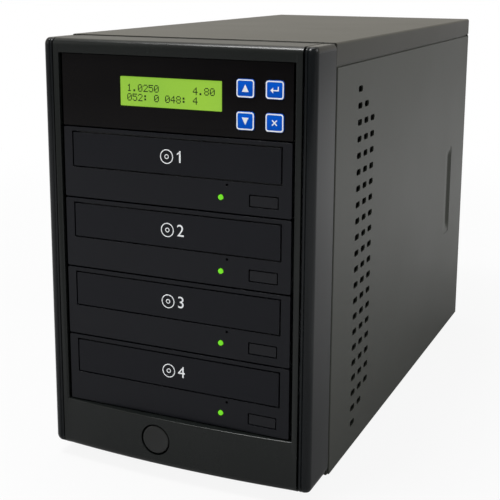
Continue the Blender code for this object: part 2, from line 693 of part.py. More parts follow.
def trim_ring(side, inset_x, inset_y, z):
    """Plan outline of a corner trim at one height, pulled in where the ends are rounded."""
    front = RIM_Y + TRIM_SET_BACK + inset_y
    outer = HALF_WIDTH - inset_x
    notch = TRIM_X + BEAD_WIDTH
    points = [(TRIM_X, FASCIA_REAR_Y), (TRIM_X, front), (notch, front),
              (notch + NOTCH_WIDTH / 2, front + NOTCH_DEPTH), (notch + NOTCH_WIDTH, front)]
    reach = outer - notch - NOTCH_WIDTH
    radius = min(TRIM_CORNER, reach)
    points += arc(outer - radius, front + radius, radius, -90, 0, 5)
    points.append((outer, FASCIA_REAR_Y))
    return [(side * x, y, z) for x, y in points]


def build_side_trim(side, material):
    name = "side_trim_right" if side > 0 else "side_trim_left"
    low, high = FASCIA_BASE_Z, TOP_Z
    rings = []
    for step, (inset, rise) in enumerate(half_round_steps(BOTTOM_RADIUS, ARC_STEPS)):
        inset_x = half_round_steps(TRIM_SIDE_RADIUS, ARC_STEPS)[step][0]
        rings.append(trim_ring(side, inset_x, inset, low + rise))
    for step, (inset, rise) in reversed(list(enumerate(half_round_steps(TOP_RADIUS, ARC_STEPS)))):
        inset_x = half_round_steps(TRIM_SIDE_RADIUS, ARC_STEPS)[step][0]
        rings.append(trim_ring(side, inset_x, inset, high - rise))
    bm = bmesh.new()
    add_loft(bm, rings)
    trim = finish(bm, name, material)
    bm = bmesh.new()
    xs = sorted((side * (TRIM_X + TRIM_WALL), side * (HALF_WIDTH - TRIM_WALL)))
    ys = (RIM_Y + TRIM_CORNER, FASCIA_REAR_Y + OVERRUN)
    add_box(bm, xs, ys, (low + TRIM_SIDE_RADIUS, high - TRIM_SIDE_RADIUS))
    combine(trim, finish(bm, name + "_hollow", material), "DIFFERENCE")


def build_power_button(material, switch_material):
    z = STACK_Z - BUTTON_DROP
    front = RIM_Y - bow(BUTTON_X) + BUTTON_FLUSH
    rear = front + BUTTON_LENGTH
    crown = BUTTON_RADIUS - BUTTON_EDGE
    profile = [(crown, front), (BUTTON_RADIUS, front + BUTTON_EDGE), (BUTTON_RADIUS, rear)]
    bm = bmesh.new()
    add_turned(bm, "XZ", BUTTON_X, z, profile, 36)
    finish(bm, "power_button", material, (BUTTON_X, (front + rear) / 2, z))
    bm = bmesh.new()
    switch_front = rear + BUTTON_TRAVEL + GAP
    half = SWITCH_WIDTH / 2
    add_box(bm, (BUTTON_X - half, BUTTON_X + half), (switch_front, SEAM_Y - GAP), (z - half, z + half))
    finish(bm, "power_switch", switch_material)


# Controller bay

def build_control_panel(material):
    """Glossy face of the top bay, with a window for the screen and four key holes."""
    bm = bmesh.new()
    low = PANEL_BAY_Z + BEZEL_GAP
    high = STACK_Z + OPENING_HEIGHT - BEZEL_GAP
    outline = rectangle(0.0, (low + high) / 2, PANEL_WIDTH, high - low)
    window = rectangle(SCREEN_X, SCREEN_Z, SCREEN_WIDTH + 2 * GAP, SCREEN_HEIGHT + 2 * GAP)
    holes = [window]
    for x, z in key_places().values():
        holes.append(rounded(x, z, KEY_WIDTH + 2 * GAP, KEY_HEIGHT + 2 * GAP, KEY_CORNER + GAP))
    front = FACE_Y + PANEL_SET_BACK
    add_prism(bm, "XZ", outline, front, front + PANEL_THICK, holes=holes)
    finish(bm, "control_panel", material)


def key_places():
    return {"key_up": (KEY_LEFT_X, KEY_HIGH_Z), "key_down": (KEY_LEFT_X, KEY_LOW_Z),
            "key_enter": (KEY_RIGHT_X, KEY_HIGH_Z), "key_escape": (KEY_RIGHT_X, KEY_LOW_Z)}


def build_screen(glass):
    front = FACE_Y + PANEL_SET_BACK + SCREEN_SINK
    bm = bmesh.new()
    outline = rectangle(SCREEN_X, SCREEN_Z, SCREEN_WIDTH, SCREEN_HEIGHT)
    add_prism(bm, "XZ", outline, front, front + SCREEN_THICK)
    finish(bm, "lcd_glass", glass)


def build_keys(material):
    front = FACE_Y + PANEL_SET_BACK - KEY_PROUD
    rear = front + KEY_LENGTH
    for name, (x, z) in key_places().items():
        face = rounded(x, z, KEY_WIDTH - KEY_PROUD, KEY_HEIGHT - KEY_PROUD, KEY_CORNER)
        full = rounded(x, z, KEY_WIDTH, KEY_HEIGHT, KEY_CORNER)
        rings = [[(u, place, v) for u, v in ring]
                 for ring, place in ((face, front), (full, front + KEY_PROUD / 2), (full, rear))]
        bm = bmesh.new()
        add_loft(bm, rings)
        finish(bm, name, material, (x, (front + rear) / 2, z))


def build_display_board(material):
    """One circuit board behind the panel carries the screen module and the switch under each key."""
    key_rear = FACE_Y + PANEL_SET_BACK - KEY_PROUD + KEY_LENGTH
    tact_front = key_rear + KEY_TRAVEL + KEY_STOP_CLEAR
    card_front = tact_front + TACT_HEIGHT
    panel_rear = FACE_Y + PANEL_SET_BACK + PANEL_THICK + GAP
    left = SCREEN_X - SCREEN_WIDTH / 2 - DISPLAY_MARGIN
    right = KEY_RIGHT_X + KEY_WIDTH / 2
    low = KEY_LOW_Z - KEY_HEIGHT / 2
    high = SCREEN_Z + SCREEN_HEIGHT / 2 + DISPLAY_MARGIN
    bm = bmesh.new()
    add_box(bm, (left, right), (card_front, card_front + BOARD_THICK), (low, high))
    card = finish(bm, "display_board", material)
    bm = bmesh.new()
    body = rectangle(SCREEN_X, SCREEN_Z, SCREEN_WIDTH + DISPLAY_MARGIN, SCREEN_HEIGHT + DISPLAY_MARGIN)
    add_prism(bm, "XZ", body, panel_rear, card_front + EMBED)
    for x, z in key_places().values():
        switch = rectangle(x, z, TACT_WIDTH, TACT_WIDTH)
        add_prism(bm, "XZ", switch, tact_front, card_front + EMBED)
    combine(card, finish(bm, "display_board_parts", material), "UNION")


def build_controller(steel, board):
    """A folded tray in the top bay carries the copy controller on four posts."""
    half = DRIVE_WIDTH / 2 - DRIVE_SIDE_CLEAR
    floor = PANEL_BAY_Z + CARRIER_LIFT
    wall_top = floor + CARRIER_WALL_HEIGHT
    start = FACE_Y + PANEL_SET_BACK + PANEL_THICK + GAP
    inner = half - SHEET
    section = [(-half, floor), (half, floor), (half, wall_top), (inner, wall_top), (inner, floor + SHEET),
               (-inner, floor + SHEET), (-inner, wall_top), (-half, wall_top)]
    bm = bmesh.new()
    add_prism(bm, "XZ", section, start, start + CARRIER_LENGTH)
    finish(bm, "control_carrier", steel)

    low = floor + SHEET + CONTROLLER_LIFT
    front = FACE_Y + CONTROLLER_BACK
    rear = front + CONTROLLER_LENGTH
    bm = bmesh.new()
    add_box(bm, (-CONTROLLER_WIDTH / 2, CONTROLLER_WIDTH / 2), (front, rear), (low, low + BOARD_THICK))
    card = finish(bm, "controller_board", board)
    bm = bmesh.new()
    top = low + BOARD_THICK
    inset = 2 * POST_RADIUS
    for x in (inset - CONTROLLER_WIDTH / 2, CONTROLLER_WIDTH / 2 - inset):
        for y in (front + inset, rear - inset):
            add_prism(bm, "XY", circle(x, y, POST_RADIUS, 8), floor + SHEET + GAP, low + EMBED)
    middle = (front + rear) / 2
    add_prism(bm, "XY", rectangle(0.0, middle, CHIP_SIZE, CHIP_SIZE), top - EMBED, top + CHIP_THICK)
    for i in range(BAY_COUNT + 1):
        x = (i - BAY_COUNT / 2) * PORT_PITCH
        port_y = rear - 2 * inset - PORT_LENGTH / 2
        add_prism(bm, "XY", rectangle(x, port_y, PORT_WIDTH, PORT_LENGTH), top - EMBED, top + PORT_HEIGHT)
    combine(card, finish(bm, "controller_board_parts", board), "UNION")


# Disc drives

def build_drives(looks):
    """The lowest drive is modelled, and the others share its meshes one bay higher each."""
    base = STACK_Z
    masters = [build_drive_body(base, looks["drive_steel"]), build_drive_bezel(base, looks["drive_bezel"]),
               build_tray(base, looks["tray"]), build_tray_door(base, looks["drive_bezel"]),
               build_eject_button(base, looks["eject"]), build_lamp(base, looks["lamp"])]
    for master in masters:
        kind = master.name
        for bay in range(BAY_COUNT):
            number = BAY_COUNT - bay
            if bay > 0:
                copy_at(master, f"{kind}_{number}", (0.0, 0.0, bay * BAY_PITCH))
        master.name = f"{kind}_{BAY_COUNT}"


def build_drive_body(base, material):
    half = DRIVE_WIDTH / 2 - DRIVE_SIDE_CLEAR
    front = FACE_Y + DRIVE_BEZEL_THICK + GAP
    low = base + (BAY_PITCH - DRIVE_BODY_HEIGHT) / 2
    bm = bmesh.new()
    add_box(bm, (-half, half), (front, front + DRIVE_BODY_DEPTH), (low, low + DRIVE_BODY_HEIGHT))
    body = finish(bm, "drive_body", material)
    bm = bmesh.new()
    pocket_half = TRAY_WIDTH / 2 + GAP
    pocket_low = base + TRAY_UP - GAP
    pocket_high = base + TRAY_UP + TRAY_HEIGHT + TRAY_HEADROOM
    pocket_rear = FACE_Y + TRAY_DOOR_THICK + 2 * GAP + TRAY_LENGTH
    add_box(bm, (-pocket_half, pocket_half), (front - OVERRUN, pocket_rear), (pocket_low, pocket_high))
    combine(body, finish(bm, "drive_body_pocket", material), "DIFFERENCE")
    bake(body)
    return body


def build_drive_bezel(base, material):
    low = base + BEZEL_GAP / 2
    height = BAY_PITCH - BEZEL_GAP
    outline = rounded(0.0, low + height / 2, DRIVE_WIDTH, height, BEZEL_CORNER, 2)
    door_z = base + TRAY_DOOR_UP + TRAY_DOOR_HEIGHT / 2
    door = rectangle(0.0, door_z, TRAY_DOOR_WIDTH + 2 * GAP, TRAY_DOOR_HEIGHT + 2 * GAP)
    eject = rectangle(EJECT_X, base + EJECT_UP, EJECT_WIDTH + 2 * GAP, EJECT_HEIGHT + 2 * GAP)
    lamp = circle(LAMP_X, base + LAMP_UP, LAMP_RADIUS + GAP, 12)
    pinhole = circle(PINHOLE_X, base + PINHOLE_UP, PINHOLE_RADIUS, 8)
    bm = bmesh.new()
    add_prism(bm, "XZ", outline, FACE_Y, FACE_Y + DRIVE_BEZEL_THICK, holes=(door, eject, lamp, pinhole))
    return finish(bm, "drive_bezel", material)


def build_tray(base, material):
    """Loading tray: a full-size disc well with a small-disc well in it, and the pickup slot."""
    front = FACE_Y + TRAY_DOOR_THICK + GAP
    rear = front + TRAY_LENGTH
    low = base + TRAY_UP
    high = low + TRAY_HEIGHT
    centre_y = front + DISC_FRONT_MARGIN + DISC_RADIUS
    bm = bmesh.new()
    add_prism(bm, "XY", rounded(0.0, (front + rear) / 2, TRAY_WIDTH, TRAY_LENGTH, TRAY_CORNER), low, high)
    tray = finish(bm, "tray", material)
    well_floor = high - DISC_WELL_DEPTH
    cuts = (("tray_well", DISC_RADIUS, well_floor),
            ("tray_small_well", SMALL_DISC_RADIUS, well_floor - SMALL_WELL_DEPTH))
    for name, radius, floor in cuts:
        bm = bmesh.new()
        add_prism(bm, "XY", circle(0.0, centre_y, radius, 36), floor, high + OVERRUN)
        combine(tray, finish(bm, name, material), "DIFFERENCE")
    half = PICKUP_SLOT_WIDTH / 2
    slot_rear = centre_y + DISC_RADIUS - DISC_FRONT_MARGIN
    outline = arc(0.0, centre_y, half, 180, 360, 10) + [(half, slot_rear), (-half, slot_rear)]
    bm = bmesh.new()
    add_prism(bm, "XY", outline, low - OVERRUN, high + OVERRUN)
    combine(tray, finish(bm, "tray_pickup_slot", material), "DIFFERENCE")
    bake(tray)
    return tray


def build_tray_door(base, material):
    bm = bmesh.new()
    z = base + TRAY_DOOR_UP + TRAY_DOOR_HEIGHT / 2
    outline = rectangle(0.0, z, TRAY_DOOR_WIDTH, TRAY_DOOR_HEIGHT)
    add_prism(bm, "XZ", outline, FACE_Y, FACE_Y + TRAY_DOOR_THICK)
    return finish(bm, "tray_door", material)


def build_eject_button(base, material):
    bm = bmesh.new()
    z = base + EJECT_UP
    front = FACE_Y + PANEL_SET_BACK
    outline = rounded(EJECT_X, z, EJECT_WIDTH, EJECT_HEIGHT, BEZEL_CORNER, 2)
    add_prism(bm, "XZ", outline, front, front + EJECT_DEPTH)
    return finish(bm, "eject_button", material, (EJECT_X, front + EJECT_DEPTH / 2, z))


def build_lamp(base, material):
    bm = bmesh.new()
    profile = [(LAMP_RADIUS - LAMP_PROUD, FACE_Y - LAMP_PROUD), (LAMP_RADIUS, FACE_Y),
               (LAMP_RADIUS, FACE_Y + DRIVE_BEZEL_THICK)]
    add_turned(bm, "XZ", LAMP_X, base + LAMP_UP, profile, 12)
    return finish(bm, "drive_lamp", material)


# Power supply and fans

def supply_place(x, up):
    return x, BASE_Z + SHEET + GAP + up


def build_supply(material):
    """A steel box with a round fan well, a socket pocket and a switch pocket in its rear face."""
    rear = INNER_REAR_Y
    half = SUPPLY_WIDTH / 2
    low = BASE_Z + SHEET + GAP
    bm = bmesh.new()
    add_box(bm, (-half, half), (rear - SUPPLY_DEPTH, rear), (low, low + SUPPLY_HEIGHT))
    box = finish(bm, "power_supply", material)
    bm = bmesh.new()
    x, z = SUPPLY_FAN_X, supply_centre_z()
    well = rear - SUPPLY_WELL_DEPTH
    boss = circle(x, z, BOSS_RADIUS, 12)
    add_prism(bm, "XZ", circle(x, z, FAN_BORE, 32), well, rear + OVERRUN, holes=(boss,))
    x, z = supply_place(INLET_X, INLET_UP)
    pocket = rectangle(x, z, INLET_WIDTH + 2 * GAP, INLET_HEIGHT + 2 * GAP)
    add_prism(bm, "XZ", pocket, rear - INLET_BODY_DEPTH - GAP, rear + OVERRUN)
    x, z = supply_place(INLET_X, ROCKER_UP)
    width = ROCKER_WIDTH + 2 * (GAP + HOUSING_WALL + GAP)
    height = ROCKER_HEIGHT + 2 * (GAP + HOUSING_WALL + GAP)
    add_prism(bm, "XZ", rectangle(x, z, width, height), rear - HOUSING_DEPTH - GAP, rear + OVERRUN)
    combine(box, finish(bm, "power_supply_pockets", material), "DIFFERENCE")
    bm = bmesh.new()
    x, z = SUPPLY_FAN_X, supply_centre_z()
    boss_top = fan_hub_front(rear) - GAP
    cap = circle(x, z, BOSS_RADIUS + EMBED, 12)
    add_prism(bm, "XZ", cap, boss_top, rear + 2 * OVERRUN)
    combine(box, finish(bm, "power_supply_boss_top", material), "DIFFERENCE")


def fan_hub_front(rear):
    """The inner end of a fan hub whose outer end stops just inside the face at rear."""
    return rear - 2 * GAP - SHEET - FAN_HUB_DEPTH


def build_fan(name, x, z, rear, material):
    """Hub with seven swept blades that turns about the Y axis."""
    inner = fan_hub_front(rear)
    outer = inner + FAN_HUB_DEPTH
    bm = bmesh.new()
    add_turned(bm, "XZ", x, z, [(FAN_HUB, inner), (FAN_HUB, outer - SHEET), (FAN_HUB - SHEET, outer)], 21)
    fan = finish(bm, name, material, (x, inner, z))
    bm = bmesh.new()
    middle = (inner + outer) / 2
    for blade in range(FAN_BLADES):
        turn = 2 * math.pi * blade / FAN_BLADES
        sweep = math.radians(BLADE_SWEEP_DEG)
        rings = []
        for radius in (FAN_HUB - SHEET, (FAN_HUB + FAN_TIP) / 2, FAN_TIP):
            ring = []
            for end, skin in ((-1, -1), (1, -1), (1, 1), (-1, 1)):
                angle = turn + end * sweep / 2 + skin * BLADE_THICK / (2 * radius)
                place = middle + end * BLADE_DEPTH / 2
                ring.append((x + radius * math.cos(angle), place, z + radius * math.sin(angle)))
            rings.append(ring)
        add_loft(bm, rings)
    combine(fan, finish(bm, name + "_blades", material), "UNION")


def build_fan_frame(material):
    """Square housing with a round duct, and three struts that carry the motor plate."""
    rear = INNER_REAR_Y
    front = rear - CASE_FAN_DEPTH
    z = CASE_FAN_Z
    bm = bmesh.new()
    outline = rounded(0.0, z, CASE_FAN_SIZE, CASE_FAN_SIZE, CASE_FAN_CORNER)
    add_prism(bm, "XZ", outline, front, rear, holes=(circle(0.0, z, FAN_BORE, 32),))
    frame = finish(bm, "rear_fan_frame", material)
    bm = bmesh.new()
    add_prism(bm, "XZ", circle(0.0, z, FAN_HUB - SHEET, 18), front + EMBED, fan_hub_front(rear) - GAP)
    plate = finish(bm, "rear_fan_motor_plate", material)
    bm = bmesh.new()
    reach = FAN_BORE + SHEET
    hub = FAN_HUB - 2 * SHEET
    for i in range(3):
        turn = 2 * math.pi * i / 3 + math.pi / 2
        along = Vector((math.cos(turn), math.sin(turn)))
        across = Vector((-along.y, along.x)) * STRUT_WIDTH / 2
        corners = [along * hub - across, along * reach - across, along * reach + across, along * hub + across]
        add_prism(bm, "XZ", [(c.x, z + c.y) for c in corners], front + 2 * EMBED, front + STRUT_THICK)
    combine(frame, plate, "UNION")
    combine(frame, finish(bm, "rear_fan_struts", material), "UNION")


def build_grille(name, x, z, start, outline, material):
    """A finger guard: rings of sector openings round a solid hub."""
    ring_depth = (FAN_BORE - GRILLE_MARGIN - GRILLE_HUB) / GRILLE_RINGS
    openings = []
    for ring in range(GRILLE_RINGS):
        inner = GRILLE_HUB + ring * ring_depth + GRILLE_WIRE / 2
        outer = GRILLE_HUB + (ring + 1) * ring_depth - GRILLE_WIRE / 2
        steps = 3 + 2 * ring
        for sector in range(GRILLE_SECTORS):
            span = 360 / GRILLE_SECTORS
            first = sector * span + span / 2
            trim_in = math.degrees(GRILLE_WIRE / inner)
            trim_out = math.degrees(GRILLE_WIRE / outer)
            openings.append(arc(x, z, inner, first + trim_in, first + span - trim_in, steps)
                            + arc(x, z, outer, first + span - trim_out, first + trim_out, steps))
    bm = bmesh.new()
    add_prism(bm, "XZ", outline, start, start + GRILLE_THICK, holes=openings)
    return finish(bm, name, material)


def add_guard_screws(guard, x, z, start, material):
    """Round screw heads in the corners of a square guard."""
    bm = bmesh.new()
    for sx in (-1, 1):
        for sz in (-1, 1):
            head = circle(x + sx * FAN_SCREW_SPREAD, z + sz * FAN_SCREW_SPREAD, SCREW_HEAD_RADIUS, 10)
            add_prism(bm, "XZ", head, start + GRILLE_THICK - EMBED, start + GRILLE_THICK + SCREW_HEAD_HEIGHT)
    combine(guard, finish(bm, guard.name + "_screws", material), "UNION")


def chamfered(cu, cv, width, height, chamfer):
    """A rectangle whose two upper corners are cut, as on a mains inlet."""
    left, right = cu - width / 2, cu + width / 2
    low, high = cv - height / 2, cv + height / 2
    return [(left, low), (right, low), (right, high - chamfer), (right - chamfer, high),
            (left + chamfer, high), (left, high - chamfer)]


def build_inlet(material):
    """Mains socket: a chamfered shroud with three recessed blades."""
    rear = INNER_REAR_Y
    x, z = supply_place(INLET_X, INLET_UP)
    flange_rear = rear + GAP + INLET_FLANGE_THICK
    body = chamfered(x, z, INLET_WIDTH, INLET_HEIGHT, INLET_CHAMFER)
    flange = chamfered(x, z, INLET_WIDTH + 2 * INLET_FLANGE, INLET_HEIGHT + 2 * INLET_FLANGE, INLET_CHAMFER)
    seat = rear + GAP
    places = ((body, rear - INLET_BODY_DEPTH), (body, seat), (flange, seat), (flange, flange_rear))
    bm = bmesh.new()
    add_loft(bm, [[(u, place, v) for u, v in ring] for ring, place in places])
    inlet = finish(bm, "power_inlet", material)
    mouth_size = (INLET_WIDTH - 2 * INLET_WALL, INLET_HEIGHT - 2 * INLET_WALL)
    cavity = chamfered(x, z, *mouth_size, INLET_CHAMFER - INLET_WALL / 2)
    blades = [rectangle(x - PIN_SPREAD, z - PIN_RISE, PIN_WIDTH, PIN_HEIGHT),
              rectangle(x + PIN_SPREAD, z - PIN_RISE, PIN_WIDTH, PIN_HEIGHT),
              rectangle(x, z + PIN_RISE, PIN_WIDTH, PIN_HEIGHT)]
    tips = flange_rear - PIN_RECESS
    bm = bmesh.new()
    add_prism(bm, "XZ", cavity, rear - INLET_BODY_DEPTH + INLET_FLOOR, tips + EMBED, holes=blades)
    combine(inlet, finish(bm, "power_inlet_cavity", material), "DIFFERENCE")
    bm = bmesh.new()
    add_prism(bm, "XZ", cavity, tips, flange_rear + OVERRUN)
    combine(inlet, finish(bm, "power_inlet_mouth", material), "DIFFERENCE")


def build_mains_switch(housing_material, rocker_material):
    """A rocker that tips about an upright axis in its flanged housing."""
    rear = INNER_REAR_Y
    x, z = supply_place(INLET_X, ROCKER_UP)
    inner_w = ROCKER_WIDTH + 2 * GAP
    inner_h = ROCKER_HEIGHT + 2 * GAP
    body = rectangle(x, z, inner_w + 2 * HOUSING_WALL, inner_h + 2 * HOUSING_WALL)
    brim = HOUSING_WALL + HOUSING_FLANGE
    wide = rectangle(x, z, inner_w + 2 * brim, inner_h + 2 * brim)
    flange_rear = rear + GAP + HOUSING_FLANGE_THICK
    places = ((body, rear - HOUSING_DEPTH), (body, rear + GAP), (wide, rear + GAP), (wide, flange_rear))
    bm = bmesh.new()
    add_loft(bm, [[(u, place, v) for u, v in ring] for ring, place in places])
    housing = finish(bm, "mains_switch_housing", housing_material)
    bm = bmesh.new()
    pocket = rectangle(x, z, inner_w, inner_h)
    add_prism(bm, "XZ", pocket, rear - HOUSING_DEPTH + HOUSING_FLOOR, flange_rear + OVERRUN)
    combine(housing, finish(bm, "mains_switch_pocket", housing_material), "DIFFERENCE")

    pivot_y = flange_rear - ROCKER_DIP
    half = ROCKER_WIDTH / 2 - GAP
    keel = ROCKER_KEEL_WIDTH / 2
    section = [(-half, ROCKER_LIP), (-half, -ROCKER_SHOULDER), (-keel, -ROCKER_KEEL), (keel, -ROCKER_KEEL),
               (half, -ROCKER_SHOULDER), (half, ROCKER_LIP), (0.0, ROCKER_DIP)]
    tilt = math.radians(-ROCKER_TILT_DEG)
    across, along = math.cos(tilt), math.sin(tilt)
    turned = [(x + u * across - v * along, pivot_y + u * along + v * across) for u, v in section]
    bm = bmesh.new()
    add_prism(bm, "XY", turned, z - ROCKER_HEIGHT / 2, z + ROCKER_HEIGHT / 2)
    finish(bm, "mains_rocker", rocker_material, (x, pivot_y, z))


def build_power_end(looks):
    rear = INNER_REAR_Y
    build_supply(looks["supply"])
    build_inlet(looks["socket"])
    build_mains_switch(looks["socket"], looks["rocker"])
    build_fan("power_supply_fan", SUPPLY_FAN_X, supply_centre_z(), rear, looks["fan"])
    guard = circle(SUPPLY_FAN_X, supply_centre_z(), FAN_BORE + GUARD_LAP, 36)
    build_grille("power_supply_guard", SUPPLY_FAN_X, supply_centre_z(), rear + GAP, guard, looks["bright"])
    fan_z = CASE_FAN_Z
    build_fan_frame(looks["fan"])
    build_fan("rear_fan", 0.0, fan_z, rear, looks["fan"])
    square = rounded(0.0, fan_z, CASE_FAN_SIZE, CASE_FAN_SIZE, CASE_FAN_CORNER)
    guard_y = REAR_Y - GRILLE_THICK
    rear_guard = build_grille("rear_fan_guard", 0.0, fan_z, guard_y, square, looks["bright"])
    add_guard_screws(rear_guard, 0.0, fan_z, guard_y, looks["bright"])


def build_all():
    clear_scene()
    looks = {
        "case": make_material("case_paint", (0.052, 0.054, 0.050), 0.38),
        "steel": make_material("zinc_steel", (0.55, 0.56, 0.57), 0.40, 1.0),
        "bright": make_material("bright_steel", (0.62, 0.62, 0.63), 0.28, 1.0),
        "fascia": make_material("fascia_plastic", (0.020, 0.022, 0.022), 0.42),
        "trim": make_material("trim_plastic", (0.024, 0.027, 0.028), 0.22),
        "gloss": make_material("panel_gloss", (0.008, 0.007, 0.008), 0.12),
        "glass": make_material("screen_glass", (0.33, 0.60, 0.05), 0.15),
        "key": make_material("key_plastic", (0.000, 0.090, 0.520), 0.35),
        "board": make_material("circuit_board", (0.020, 0.130, 0.050), 0.55),
        "button": make_material("button_plastic", (0.022, 0.024, 0.024), 0.40),
        "switch": make_material("switch_body", (0.030, 0.030, 0.032), 0.50),
        "drive_steel": make_material("drive_steel", (0.60, 0.61, 0.62), 0.35, 1.0),
        "drive_bezel": make_material("drive_plastic", (0.014, 0.014, 0.017), 0.45),
        "tray": make_material("tray_plastic", (0.030, 0.030, 0.033), 0.50),
        "eject": make_material("eject_plastic", (0.016, 0.016, 0.019), 0.40),
        "lamp": make_material("lamp_green", (0.130, 0.650, 0.020), 0.30),
        "supply": make_material("supply_steel", (0.50, 0.51, 0.52), 0.38, 1.0),
        "socket": make_material("socket_plastic", (0.020, 0.020, 0.020), 0.45),
        "rocker": make_material("rocker_plastic", (0.025, 0.025, 0.025), 0.35),
        "fan": make_material("fan_plastic", (0.018, 0.018, 0.018), 0.45),
        "rubber": make_material("foot_rubber", (0.020, 0.020, 0.020), 0.85),
    }
    build_chassis(looks["steel"])
    build_cage(looks["steel"])
    build_top_cover(looks["case"])
    for side in (-1, 1):
        build_side_panel(side, looks["case"])
        build_side_trim(side, looks["trim"])
    build_thumbscrews(looks["bright"])
    build_feet(looks["rubber"])
    build_front_bezel(looks["fascia"])
    build_power_button(looks["button"], looks["switch"])
    build_control_panel(looks["gloss"])
    build_screen(looks["glass"])
    build_keys(looks["key"])
    build_display_board(looks["board"])
    build_controller(looks["steel"], looks["board"])
    build_drives(looks)
    build_power_end(looks)


build_all()
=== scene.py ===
import json
import math
import bmesh
import bpy
from mathutils import Euler, Matrix, Vector


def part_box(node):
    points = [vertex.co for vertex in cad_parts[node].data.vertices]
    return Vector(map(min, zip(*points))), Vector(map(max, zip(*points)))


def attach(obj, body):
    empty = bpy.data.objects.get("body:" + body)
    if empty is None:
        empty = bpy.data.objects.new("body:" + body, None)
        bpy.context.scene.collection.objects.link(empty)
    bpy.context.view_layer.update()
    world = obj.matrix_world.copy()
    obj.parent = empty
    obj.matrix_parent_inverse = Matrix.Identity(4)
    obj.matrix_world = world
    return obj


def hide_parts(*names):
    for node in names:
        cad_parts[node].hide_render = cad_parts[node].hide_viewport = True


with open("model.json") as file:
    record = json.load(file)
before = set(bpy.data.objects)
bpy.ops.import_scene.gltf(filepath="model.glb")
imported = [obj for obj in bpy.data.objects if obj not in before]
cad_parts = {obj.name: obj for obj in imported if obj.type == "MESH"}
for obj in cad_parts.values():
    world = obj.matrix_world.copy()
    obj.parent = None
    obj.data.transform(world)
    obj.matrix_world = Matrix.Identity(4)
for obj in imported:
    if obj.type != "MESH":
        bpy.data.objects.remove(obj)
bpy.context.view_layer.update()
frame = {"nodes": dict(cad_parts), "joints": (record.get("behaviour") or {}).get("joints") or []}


# Folded steel case, drive cage and control carrier: zinc-plated sheet, cut and bent.
# Their shapes are right as they come, so they only get the small radius that a sheared
# and folded edge has, and the clouded grey of plated steel.
class Amount:
    """A value on a socket; Python's operators add the Math nodes."""

    def __init__(self, maker, socket):
        self.maker = maker
        self.socket = socket

    def __add__(self, other):
        return self.maker.maths("ADD", self, other)

    def __radd__(self, other):
        return self.maker.maths("ADD", other, self)

    def __sub__(self, other):
        return self.maker.maths("SUBTRACT", self, other)

    def __rsub__(self, other):
        return self.maker.maths("SUBTRACT", other, self)

    def __mul__(self, other):
        return self.maker.maths("MULTIPLY", self, other)

    def __rmul__(self, other):
        return self.maker.maths("MULTIPLY", other, self)

    def __truediv__(self, other):
        return self.maker.maths("DIVIDE", self, other)

    def __rtruediv__(self, other):
        return self.maker.maths("DIVIDE", other, self)


class Nodes:
    """A node tree being filled; node() adds a node and returns one of its outputs."""

    def __init__(self, tree):
        self.tree = tree

    def feed(self, socket, value):
        if isinstance(value, Amount):
            self.tree.links.new(value.socket, socket)
        elif socket.type == "RGBA":
            socket.default_value = (*value, 1.0)
        else:
            socket.default_value = value

    def node(self, kind, settings, *values, output=0):
        made = self.tree.nodes.new("ShaderNode" + kind)
        for key, value in settings.items():
            setattr(made, key, value)
        for socket, value in zip([s for s in made.inputs if s.enabled], values):
            if value is not None:
                self.feed(socket, value)
        return Amount(self, [s for s in made.outputs if s.enabled][output])

    def maths(self, operation, *values):
        return self.node("Math", {"operation": operation}, *values)

    def eased(self, value, low, high, start=0.0, end=1.0):
        """Start below low, end above high, and a smooth step between them."""
        return self.node("MapRange", {"interpolation_type": "SMOOTHSTEP"}, value, low, high, start, end)

    def mixed(self, share, first, second):
        return self.node("Mix", {"data_type": "RGBA"}, share, first, second)


class Finish(Nodes):
    """A material being made."""

    def __init__(self, name, roughness, metallic=0.0, specular=0.5):
        self.material = bpy.data.materials.new(name)
        self.material.use_nodes = True
        super().__init__(self.material.node_tree)
        self.surface = self.tree.nodes["Principled BSDF"]
        self.put("Roughness", roughness)
        self.put("Metallic", metallic)
        self.put("Specular IOR Level", specular)

    def put(self, name, value):
        self.feed(self.surface.inputs[name], value)

    def place(self):
        """Where a point is on the whole machine, in metres."""
        return self.node("TexCoord", {}, output=3)

    def noise(self, scale, detail=3.0, vector=None):
        return self.node("TexNoise", {}, vector or self.place(), scale, detail)

    def cells(self, scale):
        return self.node("TexVoronoi", {}, self.place(), scale)

    def tinted(self, share, tone, factor):
        """Drift from a tone to the same tone made lighter or darker by a factor."""
        self.put("Base Color", self.mixed(share, tone, tuple(factor * c for c in tone)))

    def bumped(self, height, strength, distance):
        self.put("Normal", self.node("Bump", {}, strength, distance, None, height))


def plated_steel(name, tone):
    """Soft-edged crystals a few millimetres wide under a hazy skin."""
    finish = Finish(name, 0.4, metallic=1.0)
    crystal = finish.cells(260.0)
    cloud = finish.noise(26.0)
    grain = finish.noise(2600.0, 2.0)
    finish.tinted(crystal * 0.25 + cloud * 0.5, tone, 0.70)
    finish.put("Roughness", 0.27 + cloud * 0.16 + grain * 0.08)
    finish.bumped(grain + crystal * 0.4, 0.15, 0.00004)
    return finish.material


def bevelled(piece, width, segments, angle_deg=40):
    """A small radius on each edge that is sharper than the angle."""
    edge = piece.modifiers.new("edge_radius", "BEVEL")
    edge.width, edge.segments = width, segments
    edge.limit_method, edge.angle_limit = "ANGLE", math.radians(angle_deg)
    return edge


def dress(node, material, width, segments=2):
    """Give a frame node its finish and, with modifiers alone, the radius of a made edge."""
    piece = frame["nodes"][node]
    piece.data.materials.clear()
    piece.data.materials.append(material)
    joined = piece.modifiers.new("joined", "WELD")
    joined.merge_threshold = 0.000002
    flat = piece.modifiers.new("whole_faces", "DECIMATE")
    flat.decimate_type, flat.angle_limit = "DISSOLVE", math.radians(0.2)
    bevelled(piece, width, segments)


